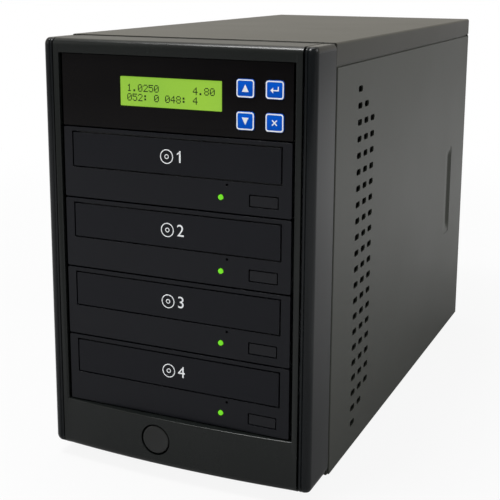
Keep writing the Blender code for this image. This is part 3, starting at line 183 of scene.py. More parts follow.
zinc = plated_steel("zinc_plated_sheet", (0.56, 0.57, 0.58))
for node in ("chassis", "drive_cage", "control_carrier"):
    dress(node, zinc, 0.0002)


# Sliding side panels: 1 mm steel in satin black paint, pressed with three stepped columns
# of vent slots and one finger grip. A node tree fills the outline and the slots as one flat
# sheet and thickens it; the top tongue, foot hooks and rear flange are folded from it.
def black_paint(name, tone, roughness, specular, tint):
    """Baked satin paint: faint orange peel, and a slow drift in sheen along the sheet."""
    finish = Finish(name, roughness, specular=specular)
    finish.put("Specular Tint", tint)
    drift = finish.noise(11.0)
    peel = finish.noise(750.0, 2.0)
    speck = finish.eased(finish.noise(3600.0, 1.0), 0.60, 0.72)
    finish.tinted(drift * 0.7 + speck * 0.2, tone, 1.5)
    finish.put("Roughness", (roughness - 0.05) + drift * 0.08 + peel * 0.03)
    finish.bumped(peel + speck * 0.2, 0.25, 0.00003)
    return finish.material


def linked(name, data):
    """A new object of the scene."""
    item = bpy.data.objects.new(name, data)
    bpy.context.collection.objects.link(item)
    return item


def evaluated(item):
    """The plain mesh that an object comes to; the object itself is removed."""
    bpy.context.view_layer.update()
    graph = bpy.context.evaluated_depsgraph_get()
    mesh = bpy.data.meshes.new_from_object(item.evaluated_get(graph))
    bpy.data.objects.remove(item, do_unlink=True)
    return mesh


def opened(mesh, place=None):
    """A copy of a mesh, open for work, and moved to its place."""
    bm = bmesh.new()
    bm.from_mesh(mesh)
    if place is not None:
        bmesh.ops.transform(bm, verts=bm.verts, matrix=place)
    return bm


def stored(name, bm):
    mesh = bpy.data.meshes.new(name)
    bm.to_mesh(mesh)
    bm.free()
    return mesh


class Tree(Nodes):
    """A geometry tree being made, with named inputs for its sizes."""

    def __init__(self, name, **sizes):
        super().__init__(bpy.data.node_groups.new(name, "GeometryNodeTree"))
        self.sizes = {}
        self.socket("Geometry", "INPUT", "Geometry")
        for size, value in sizes.items():
            kind = "Int" if isinstance(value, int) else "Float"
            self.sizes[size] = (self.socket(size, "INPUT", kind).identifier, value)
        self.socket("Geometry", "OUTPUT", "Geometry")
        outputs = self.tree.nodes.new("NodeGroupInput").outputs
        self.given = {output.name: Amount(self, output) for output in outputs if output.name}

    def socket(self, name, way, kind):
        return self.tree.interface.new_socket(name, in_out=way, socket_type="NodeSocket" + kind)

    def add(self, kind, **values):
        """A geometry node: settings, in small letters, are set first, and then sockets."""
        made = self.tree.nodes.new("GeometryNode" + kind)
        for key in [key for key in values if key.islower()]:
            setattr(made, key, values.pop(key))
        for key, value in values.items():
            self.feed(made.inputs[key.replace("_", " ")], value)
        return Amount(self, made.outputs[0])

    def vector(self, x=0.0, y=0.0, z=0.0):
        return self.node("CombineXYZ", {}, x, y, z)

    def joined(self, *parts):
        made = self.tree.nodes.new("GeometryNodeJoinGeometry")
        for part in parts:
            self.feed(made.inputs[0], part)
        return Amount(self, made.outputs[0])

    def thickened(self, flat, depth):
        """A flat sheet pushed up along Z and closed underneath."""
        raised = self.add("ExtrudeMesh", Mesh=flat, Individual=False, Offset=self.vector(z=1.0),
                          Offset_Scale=depth)
        under = self.add("FlipFaces", Mesh=flat)
        return self.add("MergeByDistance", Geometry=self.joined(raised, under), Distance=0.000001)

    def end(self, geometry, material):
        real = self.add("RealizeInstances", Geometry=geometry)
        last = self.tree.nodes.new("NodeGroupOutput")
        self.feed(last.inputs[0], self.add("SetMaterial", Geometry=real, Material=material))

    def grown(self, seed, **changed):
        """Run the tree on a starting mesh and return the result as a plain mesh."""
        base = linked(self.tree.name + "_seed", seed)
        step = base.modifiers.new("growth", "NODES")
        step.node_group = self.tree
        for size, (identifier, value) in self.sizes.items():
            step[identifier] = changed.get(size, value)
        return evaluated(base)


def piece_of(name, made, material, body, slot, *replaced, smooth_deg=30):
    """A finished piece: normals out, smooth inside its curves, carried by one body.

    A mesh that a tree has grown comes with its material.
    """
    mesh = made
    if isinstance(made, bmesh.types.BMesh):
        bmesh.ops.remove_doubles(made, verts=made.verts, dist=0.0000005)
        bmesh.ops.recalc_face_normals(made, faces=made.faces)
        mesh = stored(name, made)
        mesh.materials.append(material)
    mesh.shade_smooth()
    mesh.set_sharp_from_angle(angle=math.radians(smooth_deg))
    piece = linked(name, mesh)
    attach(piece, body)
    if replaced:
        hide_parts(*replaced)
    return piece


def edged(piece, width, segments, angle_deg=40):
    """Give a piece the small radius of a moulded or sheared edge, its flats kept flat."""
    for edge in piece.data.edges:
        edge.use_edge_sharp = False
    bevelled(piece, width, segments, angle_deg).harden_normals = True


def arc(cu, cv, radius, start_deg, end_deg, steps):
    span = end_deg - start_deg
    turns = [math.radians(start_deg + span * i / steps) for i in range(steps + 1)]
    return [(cu + radius * math.cos(t), cv + radius * math.sin(t)) for t in turns]


def circle(cu, cv, radius, steps):
    return arc(cu, cv, radius, 0, 360, steps)[:-1]


def rectangle(cu, cv, width, height):
    return [(cu - width / 2, cv - height / 2), (cu + width / 2, cv - height / 2),
            (cu + width / 2, cv + height / 2), (cu - width / 2, cv + height / 2)]


def rounded(cu, cv, width, height, radius, steps):
    du, dv = width / 2 - radius, height / 2 - radius
    points = []
    for su, sv, turn in ((1, -1, -90), (1, 1, 0), (-1, 1, 90), (-1, -1, 180)):
        points += arc(cu + su * du, cv + sv * dv, radius, turn, turn + 90, steps)
    return points


# A plane names the two axes of an outline; the third axis is the one it is pushed along.
PLANES = {"XY": lambda u, v, w: (u, v, w), "XZ": lambda u, v, w: (u, w, v), "YZ": lambda u, v, w: (w, u, v)}


def add_prism(bm, plane, outline, start, end, holes=()):
    """Fill an outline with holes in one plane and push it along the third axis."""
    put = PLANES[plane]
    edges = []
    for ring in (outline, *holes):
        corners = [bm.verts.new(put(u, v, start)) for u, v in ring]
        edges += [bm.edges.new((corners[i - 1], corners[i])) for i in range(len(corners))]
    filled = bmesh.ops.triangle_fill(bm, use_beauty=True, use_dissolve=False, edges=edges)
    faces = [part for part in filled["geom"] if isinstance(part, bmesh.types.BMFace)]
    pushed = bmesh.ops.extrude_face_region(bm, geom=faces)
    moved = [part for part in pushed["geom"] if isinstance(part, bmesh.types.BMVert)]
    reach = Vector(put(0.0, 0.0, end)) - Vector(put(0.0, 0.0, start))
    bmesh.ops.translate(bm, verts=moved, vec=reach)


def add_box(bm, xs, ys, zs):
    add_prism(bm, "XY", [(xs[0], ys[0]), (xs[1], ys[0]), (xs[1], ys[1]), (xs[0], ys[1])], *zs)


def add_skin(bm, rows, inside_out=False):
    """A sheet of faces over rows of points; it returns the rows of vertices."""
    skin = [[bm.verts.new(point) for point in row] for row in rows]
    for one, two in zip(skin, skin[1:]):
        for j in range(len(one) - 1):
            corners = (one[j], one[j + 1], two[j + 1], two[j])
            bm.faces.new(corners[::-1] if inside_out else corners)
    return skin


def ring_mesh(name, rings):
    """Loose closed outlines in the XY plane, for a tree to fill."""
    points, edges = [], []
    for ring in rings:
        first = len(points)
        points += [(u, v, 0.0) for u, v in ring]
        edges += [(first + i, first + (i + 1) % len(ring)) for i in range(len(ring))]
    mesh = bpy.data.meshes.new(name)
    mesh.from_pydata(points, edges, [])
    return mesh


SIDES = ((-1, "left"), (1, "right"))
SHEET, GAP = 0.001, 0.0003
TRIM_SET_BACK, RIM_PROUD, BAY_GAP = 0.0002, 0.001, 0.0002
paint = black_paint("black_satin_paint", (0.0205, 0.0222, 0.0180), 0.40, 0.38, (0.97, 1.0, 0.94))
(_, seam_y, panel_base), (case_side, rear_y, tongue_top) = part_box("side_panel_right")
rim_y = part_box("side_trim_right")[0][1] - TRIM_SET_BACK
face_y = rim_y + RIM_PROUD
stack_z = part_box("drive_bezel_4")[0][2] - BAY_GAP
TONGUE_RISE = 0.006
panel_top = tongue_top - TONGUE_RISE

VENT_BACK, VENT_DROP = 0.0757, 0.0173
vent = Tree("vented_sheet", columns=3, rows=22, column_pitch=0.0126, row_pitch=0.01009,
            slot_length=0.0080, slot_height=0.0037, slot_corner=0.0016, thickness=SHEET,
            first_along=face_y + VENT_BACK, first_up=panel_top + GAP - VENT_DROP)
given = vent.given
last_column, last_row = given["columns"] - 1.0, given["rows"] - 1.0
grid = vent.add("MeshGrid", Vertices_X=given["columns"], Vertices_Y=given["rows"],
                Size_X=given["column_pitch"] * last_column, Size_Y=given["row_pitch"] * last_row)
count = vent.add("InputIndex")
column = vent.maths("FLOOR", count / given["rows"])
row = vent.maths("MODULO", count, given["rows"])
outside = vent.maths("LESS_THAN", vent.maths("MINIMUM", row, last_row - row), column)
stepped = vent.add("DeleteGeometry", domain="POINT", Geometry=grid, Selection=outside)
middle = vent.vector(given["first_along"] + given["column_pitch"],
                     given["first_up"] - given["row_pitch"] * (last_row * 0.5))
places = vent.add("Transform", Geometry=stepped, Translation=middle)
plain_slot = vent.add("CurvePrimitiveQuadrilateral", Width=given["slot_length"],
                      Height=given["slot_height"])
round_slot = vent.add("FilletCurve", mode="POLY", Curve=plain_slot, Count=5, Limit_Radius=True,
                      Radius=given["slot_corner"])
slots = vent.add("InstanceOnPoints", Points=places, Instance=round_slot)
slot_lines = vent.add("RealizeInstances", Geometry=slots)
edge_lines = vent.add("MeshToCurve", Mesh=given["Geometry"])
flat = vent.add("FillCurve", Curve=vent.joined(edge_lines, slot_lines))
vent.end(vent.thickened(flat, given["thickness"]), paint)

GRIP_WIDTH, GRIP_HEIGHT, GRIP_CORNER, GRIP_DEPTH = 0.0195, 0.072, 0.004, 0.0044
GRIP_FROM_REAR, GRIP_FOOT_UP = 0.0635, 0.051
GRIP_SINK, PRESSED_SHEET = 0.0002, SHEET - 0.0004
RAMP_STEPS, END_STEPS = 40, 60
grip_y = rear_y - GRIP_FROM_REAR + GRIP_WIDTH / 2
grip_z = stack_z + GRIP_FOOT_UP + GRIP_HEIGHT / 2
SHEET_ROLL, ROLL_BACK, LAP_SHADOW = 0.0008, 0.0020, 0.0013
roll_front, sheet_top = seam_y + ROLL_BACK, panel_top - LAP_SHADOW
sheet_front = roll_front + SHEET_ROLL
sheet_outline = rectangle((sheet_front + rear_y) / 2, (panel_base + sheet_top) / 2, rear_y - sheet_front,
                          sheet_top - panel_base)
grip_outline = rounded(grip_y, grip_z, GRIP_WIDTH, GRIP_HEIGHT, GRIP_CORNER, 8)
flat_sheet = vent.grown(ring_mesh("side_sheet", [sheet_outline, grip_outline]))


def smooth(share):
    share = min(1.0, max(0.0, share))
    return share * share * (3 - 2 * share)


def grip_depth(along, up):
    """The finger ramp: it sinks slowly from its front edge to a steep wall at the rear."""
    ramp = 0.22 * along + 0.78 * along ** 4
    wall = smooth((1.0 - along) * GRIP_WIDTH / 0.0050)
    end = smooth(min(up, 1.0 - up) * GRIP_HEIGHT / (0.003 + 0.008 * along))
    return GRIP_DEPTH * ramp * wall * end


def grip_point(side, back, i, j):
    """A place on the pressed grip, i steps along its ramp and j steps up."""
    along, up = i / RAMP_STEPS, j / END_STEPS
    x = side * (case_side - GRIP_SINK - back - grip_depth(along, up))
    return x, grip_y + GRIP_WIDTH * (along - 0.5), grip_z + GRIP_HEIGHT * (up - 0.5)


TONGUE_SHORT, FLANGE_REACH = 0.0018, 0.012
HOOKS, HOOK_LENGTH, HOOK_DROP, ARM_UP, HOOK_INSET, HOOK_ROOM = 3, 0.012, 0.0063, 0.0126, 0.016, 0.062
STRIP_OUTER, STRIP_INNER, TAB_INNER, TAB_HEIGHT, TAB_INSET = 0.0009, 0.0014, 0.0024, 0.005, 0.0001
for side, name in SIDES:
    inner = side * (case_side - SHEET)
    lowest = min(inner, side * case_side)
    bm = opened(flat_sheet, Matrix(((0, 0, 1, lowest), (1, 0, 0, 0), (0, 1, 0, 0), (0, 0, 0, 1))))
    borders = []
    for back in (0.0, PRESSED_SHEET):
        skin = add_skin(bm, [[grip_point(side, back, i, j) for j in range(END_STEPS + 1)]
                             for i in range(RAMP_STEPS + 1)])
        borders.append([row[0] for row in skin[:-1]] + skin[-1][:-1]
                       + [row[-1] for row in skin[:0:-1]] + skin[0][:0:-1])
    shown, hidden = borders
    for i in range(len(shown)):
        bm.faces.new((shown[i - 1], shown[i], hidden[i], hidden[i - 1]))

    # The tongue stands behind the top cover's edge; the hooks reach over the chassis' lower edge.
    tongue_root = panel_top - TONGUE_RISE
    tongue = [(inner - side * GAP, tongue_root), (inner - side * (GAP + SHEET), tongue_root),
              (inner - side * (GAP + SHEET), tongue_top), (inner - side * GAP, tongue_top)]
    add_prism(bm, "XZ", tongue, seam_y + GAP, rear_y - TONGUE_SHORT)
    hook_x = abs(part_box("side_panel_" + name)[0 if side > 0 else 1][0])
    arm_z = panel_base + ARM_UP
    hook = [(inner, arm_z), (inner, arm_z + SHEET), (side * hook_x, arm_z + SHEET),
            (side * hook_x, arm_z - HOOK_DROP), (side * (hook_x + SHEET), arm_z - HOOK_DROP),
            (side * (hook_x + SHEET), arm_z)]
    for i in range(HOOKS):
        start = seam_y + HOOK_INSET + i * (rear_y - seam_y - HOOK_ROOM) / (HOOKS - 1)
        add_prism(bm, "XZ", hook, start, start + HOOK_LENGTH)

    # The front edge is rolled; ahead of it a recessed strip and a small tab fill the seam.
    roll = arc(case_side - SHEET_ROLL, sheet_front, SHEET_ROLL, -90, 0, 8)
    roll += [(case_side - SHEET, sheet_front), (case_side - SHEET_ROLL, sheet_front - 0.0002)]
    add_prism(bm, "XY", [(side * u, v) for u, v in roll], panel_base, sheet_top)
    strip = sorted((side * (case_side - STRIP_INNER), side * (case_side - STRIP_OUTER)))
    add_box(bm, strip, (seam_y + GAP, roll_front + 0.0004), (panel_base + GAP, sheet_top - GAP))
    tab = sorted((side * (case_side - TAB_INNER), side * (case_side - SHEET)))
    add_box(bm, tab, (seam_y + TAB_INSET, roll_front + GAP),
            (panel_base + TAB_INSET, panel_base + TAB_HEIGHT))
    flange = sorted((side * (case_side - GAP), side * (case_side - FLANGE_REACH)))
    add_box(bm, flange, (rear_y - SHEET, rear_y - GAP), (panel_base + GAP, panel_top))
    piece_of("side_panel_skin_" + name, bm, paint, f"side_panel_{name}_body", "case_paint",
             "side_panel_" + name)


# Top cover: one painted sheet folded into an inverted tray, with a lip over the rear wall.
# It laps the side panels and its front edge butts against the moulded front.
lap_z, top_z = (corner[2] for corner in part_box("top_cover"))
FOLD = 0.0015
inner_side = case_side - SHEET
right_fold = arc(case_side - FOLD, top_z - FOLD, FOLD, 0, 90, 8)
left_fold = arc(FOLD - case_side, top_z - FOLD, FOLD, 90, 180, 8)
cover_section = [(inner_side, lap_z), (case_side, lap_z)] + right_fold + left_fold
cover_section += [(-case_side, lap_z), (-inner_side, lap_z), (-inner_side, top_z - SHEET),
                  (inner_side, top_z - SHEET)]
bm = bmesh.new()
add_prism(bm, "XZ", cover_section, seam_y, rear_y)
lip_half = inner_side - FLANGE_REACH - GAP
add_box(bm, (-lip_half, lip_half), (rear_y - SHEET, rear_y - 0.0002), (lap_z, top_z - GAP))
# Painted light: the cover gets its own copy of the case paint, warmer in tone and specular tint and less
# glossy, which paints the warm light falling on the top.
lit_top_paint = black_paint("cover_satin_paint", (0.0235, 0.0232, 0.0192), 0.38, 0.20, (1.0, 0.98, 0.93))
edged(piece_of("top_cover_skin", bm, lit_top_paint, "case", "case_paint", "top_cover"), 0.0003, 3)


# Screws: bright-plated pan heads with a cross recess. One tree cuts the recess and sets a
# head on every point of its seed mesh; the points are where the real screws are driven in.
def bright_metal(name, tone, roughness):
    """Polished metal with fine scratches that run across it."""
    finish = Finish(name, roughness, metallic=1.0)
    stretched = finish.node("Mapping", {}, finish.place(), None, None, (0.15, 1.0, 1.0))
    scratch = finish.noise(900.0, 2.0, stretched)
    finish.tinted(scratch * 0.6, tone, 0.75)
    finish.put("Roughness", (roughness - 0.06) + scratch * 0.14)
    return finish.material


HEAD_HEIGHT = 0.0018
bright = bright_metal("bright_plated_steel", (0.66, 0.66, 0.66), 0.26)
screw = Tree("cross_head_screws", head_radius=0.003, head_height=HEAD_HEIGHT, recess_width=0.0009,
             recess_length=0.0034)
given = screw.given
head = screw.add("MeshCylinder", Vertices=28, Radius=given["head_radius"], Depth=given["head_height"])
bar_size = screw.vector(given["recess_length"], given["recess_width"], given["head_height"])
bar = screw.add("MeshCube", Size=bar_size)
first_bar = screw.add("Transform", Geometry=bar, Translation=screw.vector(z=given["head_height"] * 0.62))
second_bar = screw.add("Transform", Geometry=first_bar, Rotation=Euler((0.0, 0.0, math.pi / 2)))
both_bars = screw.add("MeshBoolean", operation="UNION", Mesh_2=screw.joined(first_bar, second_bar))
crossed = screw.add("MeshBoolean", operation="DIFFERENCE", Mesh_1=head, Mesh_2=both_bars)
screw.end(screw.add("InstanceOnPoints", Points=given["Geometry"], Instance=crossed), bright)


def screws_at(name, points, facing):
    """Cross-head screws at points of a plane, seated on it and facing along one axis."""
    mesh = bpy.data.meshes.new(name)
    turn = Vector((0, 0, 1)).rotation_difference(Vector(facing)).to_matrix().to_4x4()
    back = turn.inverted()
    mesh.from_pydata([back @ Vector(p) for p in points], [], [])
    grown = screw.grown(mesh)
    grown.transform(Matrix.Translation(Vector(facing) * (HEAD_HEIGHT / 2)) @ turn)
    edged(piece_of(name, grown, None, "case", "bright_steel"), 0.0003, 2)


BAYS, BAY_PITCH, SCREW_UP, SCREW_BACK, SCREW_PITCH = 4, 0.043, 0.010, 0.060, 0.0795
COVER_SCREW_X, CAGE_SCREW_SINK = 0.0374, 0.002
cover_points = [(x, rear_y, (lap_z + top_z) / 2) for x in (-COVER_SCREW_X, COVER_SCREW_X)]
screws_at("top_cover_screws", cover_points, (0, 1, 0))
cage_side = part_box("drive_cage")[1][0] - CAGE_SCREW_SINK
for side, name in SIDES:
    points = [(side * cage_side, face_y + SCREW_BACK + i * SCREW_PITCH,
               stack_z + bay * BAY_PITCH + SCREW_UP) for bay in range(BAYS) for i in range(2)]
    screws_at("drive_screws_" + name, points, (side, 0, 0))


# Thumbscrews: captive, with a ribbed head and a cut for a driver. The tree turns a ribbed
# outline into a head; the rim is eased, and a plain collar sits under it.
RIB_HEIGHT = 0.0055
rib = Tree("ribbed_head", ribs=26, radius=0.005, rib_depth=0.00035, height=RIB_HEIGHT)
given = rib.given
plain_rim = rib.add("CurvePrimitiveCircle", Radius=given["radius"], Resolution=given["ribs"] * 4.0)
wave = rib.maths("COSINE", rib.add("InputIndex") * (math.pi / 2))
pull = 1.0 - wave * (given["rib_depth"] / given["radius"])
spot = rib.node("VectorMath", {"operation": "SCALE"}, rib.add("InputPosition"), pull)
ribbed = rib.add("SetPosition", Geometry=plain_rim, Position=spot)
disc = rib.add("FillCurve", mode="NGONS", Curve=ribbed)
rib.end(rib.thickened(disc, given["height"]), bright)


def carved(solid, tool):
    """Cut one closed bmesh out of another and return the result as a bmesh."""
    pair = []
    for part in (solid, tool):
        bmesh.ops.recalc_face_normals(part, faces=part.faces)
        pair.append(linked("carving", stored("carving", part)))
    step = pair[0].modifiers.new("cut", "BOOLEAN")
    step.operation, step.solver, step.object = "DIFFERENCE", "EXACT", pair[1]
    result = opened(evaluated(pair[0]))
    bpy.data.objects.remove(pair[1], do_unlink=True)
    bmesh.ops.dissolve_limit(result, angle_limit=math.radians(0.05), verts=result.verts, edges=result.edges)
    return result


def add_loft(bm, rings):
    """Skin a row of rings with equal point counts and close both ends."""
    rows = [[bm.verts.new(point) for point in ring] for ring in rings]
    for lower, upper in zip(rows, rows[1:]):
        for i in range(len(lower)):
            bm.faces.new((lower[i - 1], lower[i], upper[i], upper[i - 1]))
    bm.faces.new(rows[0][::-1])
    bm.faces.new(rows[-1])


def add_turned(bm, plane, cu, cv, profile, steps):
    """Stack circles of (radius, place) along the axis that is square to the plane."""
    put = PLANES[plane]
    add_loft(bm, [[put(u, v, place) for u, v in circle(cu, cv, radius, steps)]
                  for radius, place in profile])


def measured(node):
    """A frame node's lowest and highest corners, its middle and its size."""
    low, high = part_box(node)
    return low, high, [(a + b) / 2 for a, b in zip(low, high)], [b - a for a, b in zip(low, high)]


def facing_rear(x, y, z):
    """Turn a shape that was made upright so that its top faces the rear, at a point."""
    return Matrix.Translation((x, y, z)) @ Matrix.Rotation(-math.pi / 2, 4, "X")


COLLAR_RADIUS, SLIT_REACH, SLIT_DEPTH, SLIT_HALF = 0.0036, 0.0060, 0.0012, 0.0006
ribbed_mesh = rib.grown(bpy.data.meshes.new("thumbscrew_seed"))
for _, side in SIDES:
    for level in ("low", "high"):
        node = f"thumbscrew_{side}_{level}"
        low, high, (x, _, z), _ = measured(node)
        bm = opened(ribbed_mesh, facing_rear(x, high[1] - RIB_HEIGHT, z))
        slit = bmesh.new()
        add_box(slit, (x - SLIT_REACH, x + SLIT_REACH), (high[1] - SLIT_DEPTH, high[1] + 0.002),
                (z - SLIT_HALF, z + SLIT_HALF))
        bm = carved(bm, slit)
        collar = [(COLLAR_RADIUS, low[1]), (COLLAR_RADIUS, high[1] - 0.0053)]
        add_turned(bm, "XZ", x, z, collar, 32)
        piece = piece_of(f"thumbscrew_head_{side}_{level}", bm, bright, f"side_panel_{side}_body",
                         "bright_steel", node)
        edged(piece, 0.0002, 2, 60)


# Feet: moulded rubber, turned shapes with a soft lower edge and a hollow for the screw.
def rubber(name, tone):
    """Matt rubber with a grey bloom of dust."""
    finish = Finish(name, 0.75, specular=0.25)
    dust = finish.noise(160.0, 4.0)
    finish.tinted(dust, tone, 2.2)
    finish.put("Roughness", 0.68 + dust * 0.2)
    finish.bumped(finish.noise(1400.0, 3.0), 0.3, 0.00005)
    return finish.material


SOLE_ROUND, TOP_EASE, WELL_DEEP, WELL_RADIUS, WELL_MOUTH = 0.0012, 0.0006, 0.0016, 0.0028, 0.0034
foot_rubber = rubber("foot_rubber", (0.014, 0.014, 0.014))
for node in ("foot_front_left", "foot_front_right", "foot_rear_left", "foot_rear_right"):
    _, high, (x, y, _), (width, _, _) = measured(node)
    radius = width / 2
    profile = [(WELL_RADIUS, WELL_DEEP), (WELL_MOUTH, 0.0)]
    profile += [(radius - SOLE_ROUND + u, v) for u, v in arc(0.0, SOLE_ROUND, SOLE_ROUND, -90, 0, 6)]
    profile += [(radius - 0.0002, high[2] - TOP_EASE), (radius - TOP_EASE, high[2])]
    bm = bmesh.new()
    add_turned(bm, "XY", x, y, profile, 48)
    piece_of("moulded_" + node, bm, foot_rubber, "case", "foot_rubber", node)


# Front moulding: satin black plastic with one big opening for the five bays. Below it the
# panel bows forward from the rim, so its top makes a thin ledge under the lowest drive.
def moulded(name, tone, roughness, specular, grain=2400.0, depth=0.00002, worn_above=None):
    """Injection-moulded plastic: a fine even texture, with slow changes of sheen.

    The top of a moulding is handled and dusted, so above worn_above it is duller.
    """
    finish = Finish(name, roughness, specular=specular)
    drift = finish.noise(18.0)
    texture = finish.noise(grain, 2.0)
    finish.tinted(drift * 0.6 + texture * 0.3, tone, 1.6)
    sheen = (roughness - 0.05) + drift * 0.06 + texture * 0.05
    if worn_above:
        height = finish.node("SeparateXYZ", {}, finish.place(), output=2)
        sheen = sheen + finish.eased(height, worn_above, worn_above + 0.0004, 0.0, 0.07)
    finish.put("Roughness", sheen)
    finish.bumped(texture, 0.3, depth)
    return finish.material


BOW, WALL, LIP_ROUND, TOP_ROUND, BASE_ROUND = 0.0035, 0.0025, 0.0009, 0.0040, 0.005
LIP_DROP, OPENING_REVEAL, OPENING_RISE, TOP_SINK, BUTTON_GAP = 0.0004, 0.0017, 0.0004, 0.0006, 0.0009
(_, _, fascia_base), (groove_x, fascia_rear, _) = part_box("front_bezel")
opening_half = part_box("control_panel")[1][0] + OPENING_REVEAL
opening_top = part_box("control_panel")[1][2] + OPENING_RISE
lip_z = stack_z - LIP_DROP
moulding_top = top_z - TOP_SINK
worn_from = moulding_top - 0.0005
fascia = moulded("fascia_satin_plastic", (0.0064, 0.0076, 0.0072), 0.26, 0.25, worn_above=worn_from)


def bow(x):
    """How far the lower panel bulges ahead of the rim at this place across the front."""
    return max(0.0, BOW * (1 - (x / opening_half) ** 2))


def fascia_section(x):
    """The moulding's wall in side view: over the top, down the rim, out round the lip and under."""
    lip_y = rim_y - bow(x)
    lip_round = LIP_ROUND if abs(x) < opening_half + 0.0001 else 0.0
    outer = [(fascia_rear, moulding_top)]
    outer += arc(rim_y + TOP_ROUND, moulding_top - TOP_ROUND, TOP_ROUND, 90, 180, 10)
    outer.append((max(rim_y, lip_y + lip_round), lip_z))
    outer += arc(lip_y + lip_round, lip_z - lip_round, lip_round, 90, 180, 8)
    outer += arc(lip_y + BASE_ROUND, fascia_base + BASE_ROUND, BASE_ROUND, 180, 270, 10)
    outer.append((fascia_rear, fascia_base))
    inner = [(fascia_rear, fascia_base + WALL), (lip_y + WALL, fascia_base + WALL),
             (lip_y + WALL, lip_z - WALL), (rim_y + WALL, lip_z - WALL),
             (rim_y + WALL, moulding_top - WALL), (fascia_rear, moulding_top - WALL)]
    return [(x, y, z) for y, z in outer + inner]


button_low, button_high, (button_x, _, button_z), (button_width, _, _) = measured("power_button")
button_radius = button_width / 2
stations = [-groove_x, -opening_half - 0.0004] + [opening_half * (i / 24 - 1) for i in range(49)]
stations += [opening_half + 0.0004, groove_x]
bm = bmesh.new()
add_loft(bm, [fascia_section(x) for x in stations])
cuts = bmesh.new()
cut_reach = (rim_y - 0.006, rim_y + WALL + 0.002)
opening_foot = lip_z + 0.0001
opening = rounded(0.0, (opening_foot + opening_top) / 2, 2 * opening_half,
                  opening_top - opening_foot, 0.0005, 4)
add_prism(cuts, "XZ", opening, *cut_reach)
add_prism(cuts, "XZ", circle(button_x, button_z, button_radius + BUTTON_GAP, 64), *cut_reach)
bm = carved(bm, cuts)
edged(piece_of("front_moulding", bm, fascia, "case", "fascia_plastic", "front_bezel"), 0.00045, 3, 35)


# Corner trims: two glossier uprights that clip on each side of the front moulding, behind
# a 1 mm groove. A narrow bead runs along the groove, and the outer corner is well rounded.
gloss = moulded("corner_trim_plastic", (0.0038, 0.0048, 0.0056), 0.18, 0.20, 1500.0, 0.000006, worn_from)
trim_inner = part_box("side_trim_right")[0][0]
TRIM_CORNER, TRIM_FOOT_ROUND, TRIM_TOP_ROUND = 0.005, 0.0025, 0.0015
BEAD, NOTCH, EASE = 0.0013, 0.0006, 0.0003


def quarter(radius, steps):
    """Inset and rise along a quarter round, from its sharp end to its full end."""
    turns = [math.pi / 2 * i / steps for i in range(steps + 1)]
    return [(radius * (1 - math.sin(t)), radius * (1 - math.cos(t))) for t in turns]


def trim_ring(side, inset_x, inset_y, z):
    """One level of a trim: inner edge, bead, notch, front and the rounded outer corner."""
    front = rim_y + TRIM_SET_BACK + inset_y
    outer = case_side - inset_x
    bead_end = trim_inner + BEAD
    points = [(trim_inner, fascia_rear), (trim_inner, front + 0.0004)]
    points += [(trim_inner + 0.0004, front), (bead_end - EASE, front), (bead_end, front + EASE)]
    points += [(bead_end + NOTCH / 2, front + NOTCH), (bead_end + NOTCH, front + EASE)]
    points += [(bead_end + NOTCH + EASE, front)]
    radius = min(TRIM_CORNER, outer - bead_end - NOTCH - EASE)
    points += arc(outer - radius, front + radius, radius, -90, 0, 12)
    points.append((outer, fascia_rear))
    return [(side * x, y, z) for x, y in points]


for side, name in SIDES:
    rings = []
    for (inset_y, rise), (inset_x, _) in zip(quarter(BASE_ROUND, 10), quarter(TRIM_FOOT_ROUND, 10)):
        rings.append(trim_ring(side, inset_x, inset_y, fascia_base + rise))
    top_fronts, top_sides = quarter(TOP_ROUND, 10)[::-1], quarter(TRIM_TOP_ROUND, 10)[::-1]
    for (inset_y, rise), (inset_x, _) in zip(top_fronts, top_sides):
        rings.append(trim_ring(side, inset_x, inset_y, moulding_top - rise))
    bm = bmesh.new()
    add_loft(bm, rings)
    piece_of("corner_trim_" + name, bm, gloss, "case", "trim_plastic", "side_trim_" + name, smooth_deg=40)


# Power button: one round cap, slightly dished, that follows the bow of the lower panel.
# It stands in a hole with a hairline gap, ahead of the small switch that it presses.
CAP_ROUND = 0.0009
cap_plastic = moulded("button_plastic", (0.0088, 0.0095, 0.0092), 0.28, 0.36)
front = button_low[1]
profile = [(0.0001, front + 0.00035), (button_radius * 0.45, front + 0.00030),
           (button_radius * 0.80, front + 0.00012)]
cap_edge = arc(0.0, 0.0, CAP_ROUND, -90, 0, 8)
profile += [(button_radius - CAP_ROUND + u, front + CAP_ROUND + v) for u, v in cap_edge]
profile += [(button_radius, button_high[1])]
bm = bmesh.new()
add_turned(bm, "XZ", button_x, button_z, profile, 72)
piece_of("power_button_cap", bm, cap_plastic, "power_button_body", "button_plastic", "power_button",
         smooth_deg=35)
dress("power_switch", moulded("switch_housing", (0.02, 0.02, 0.022), 0.5, 0.4), 0.0003)


# Controller face: a glossy black plate that fills the top bay, with a window for the screen
# and a hole for each of four keys. The plate is polished, so it shows only a slight ripple.
def front_plate(name, node, outline, holes, material, body, slot, radius, segments):
    """An upright plate, as deep as the frame node that it stands for."""
    low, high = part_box(node)
    bm = bmesh.new()
    add_prism(bm, "XZ", outline, low[1], high[1], holes)
    edged(piece_of(name, bm, material, body, slot, node), radius, segments)


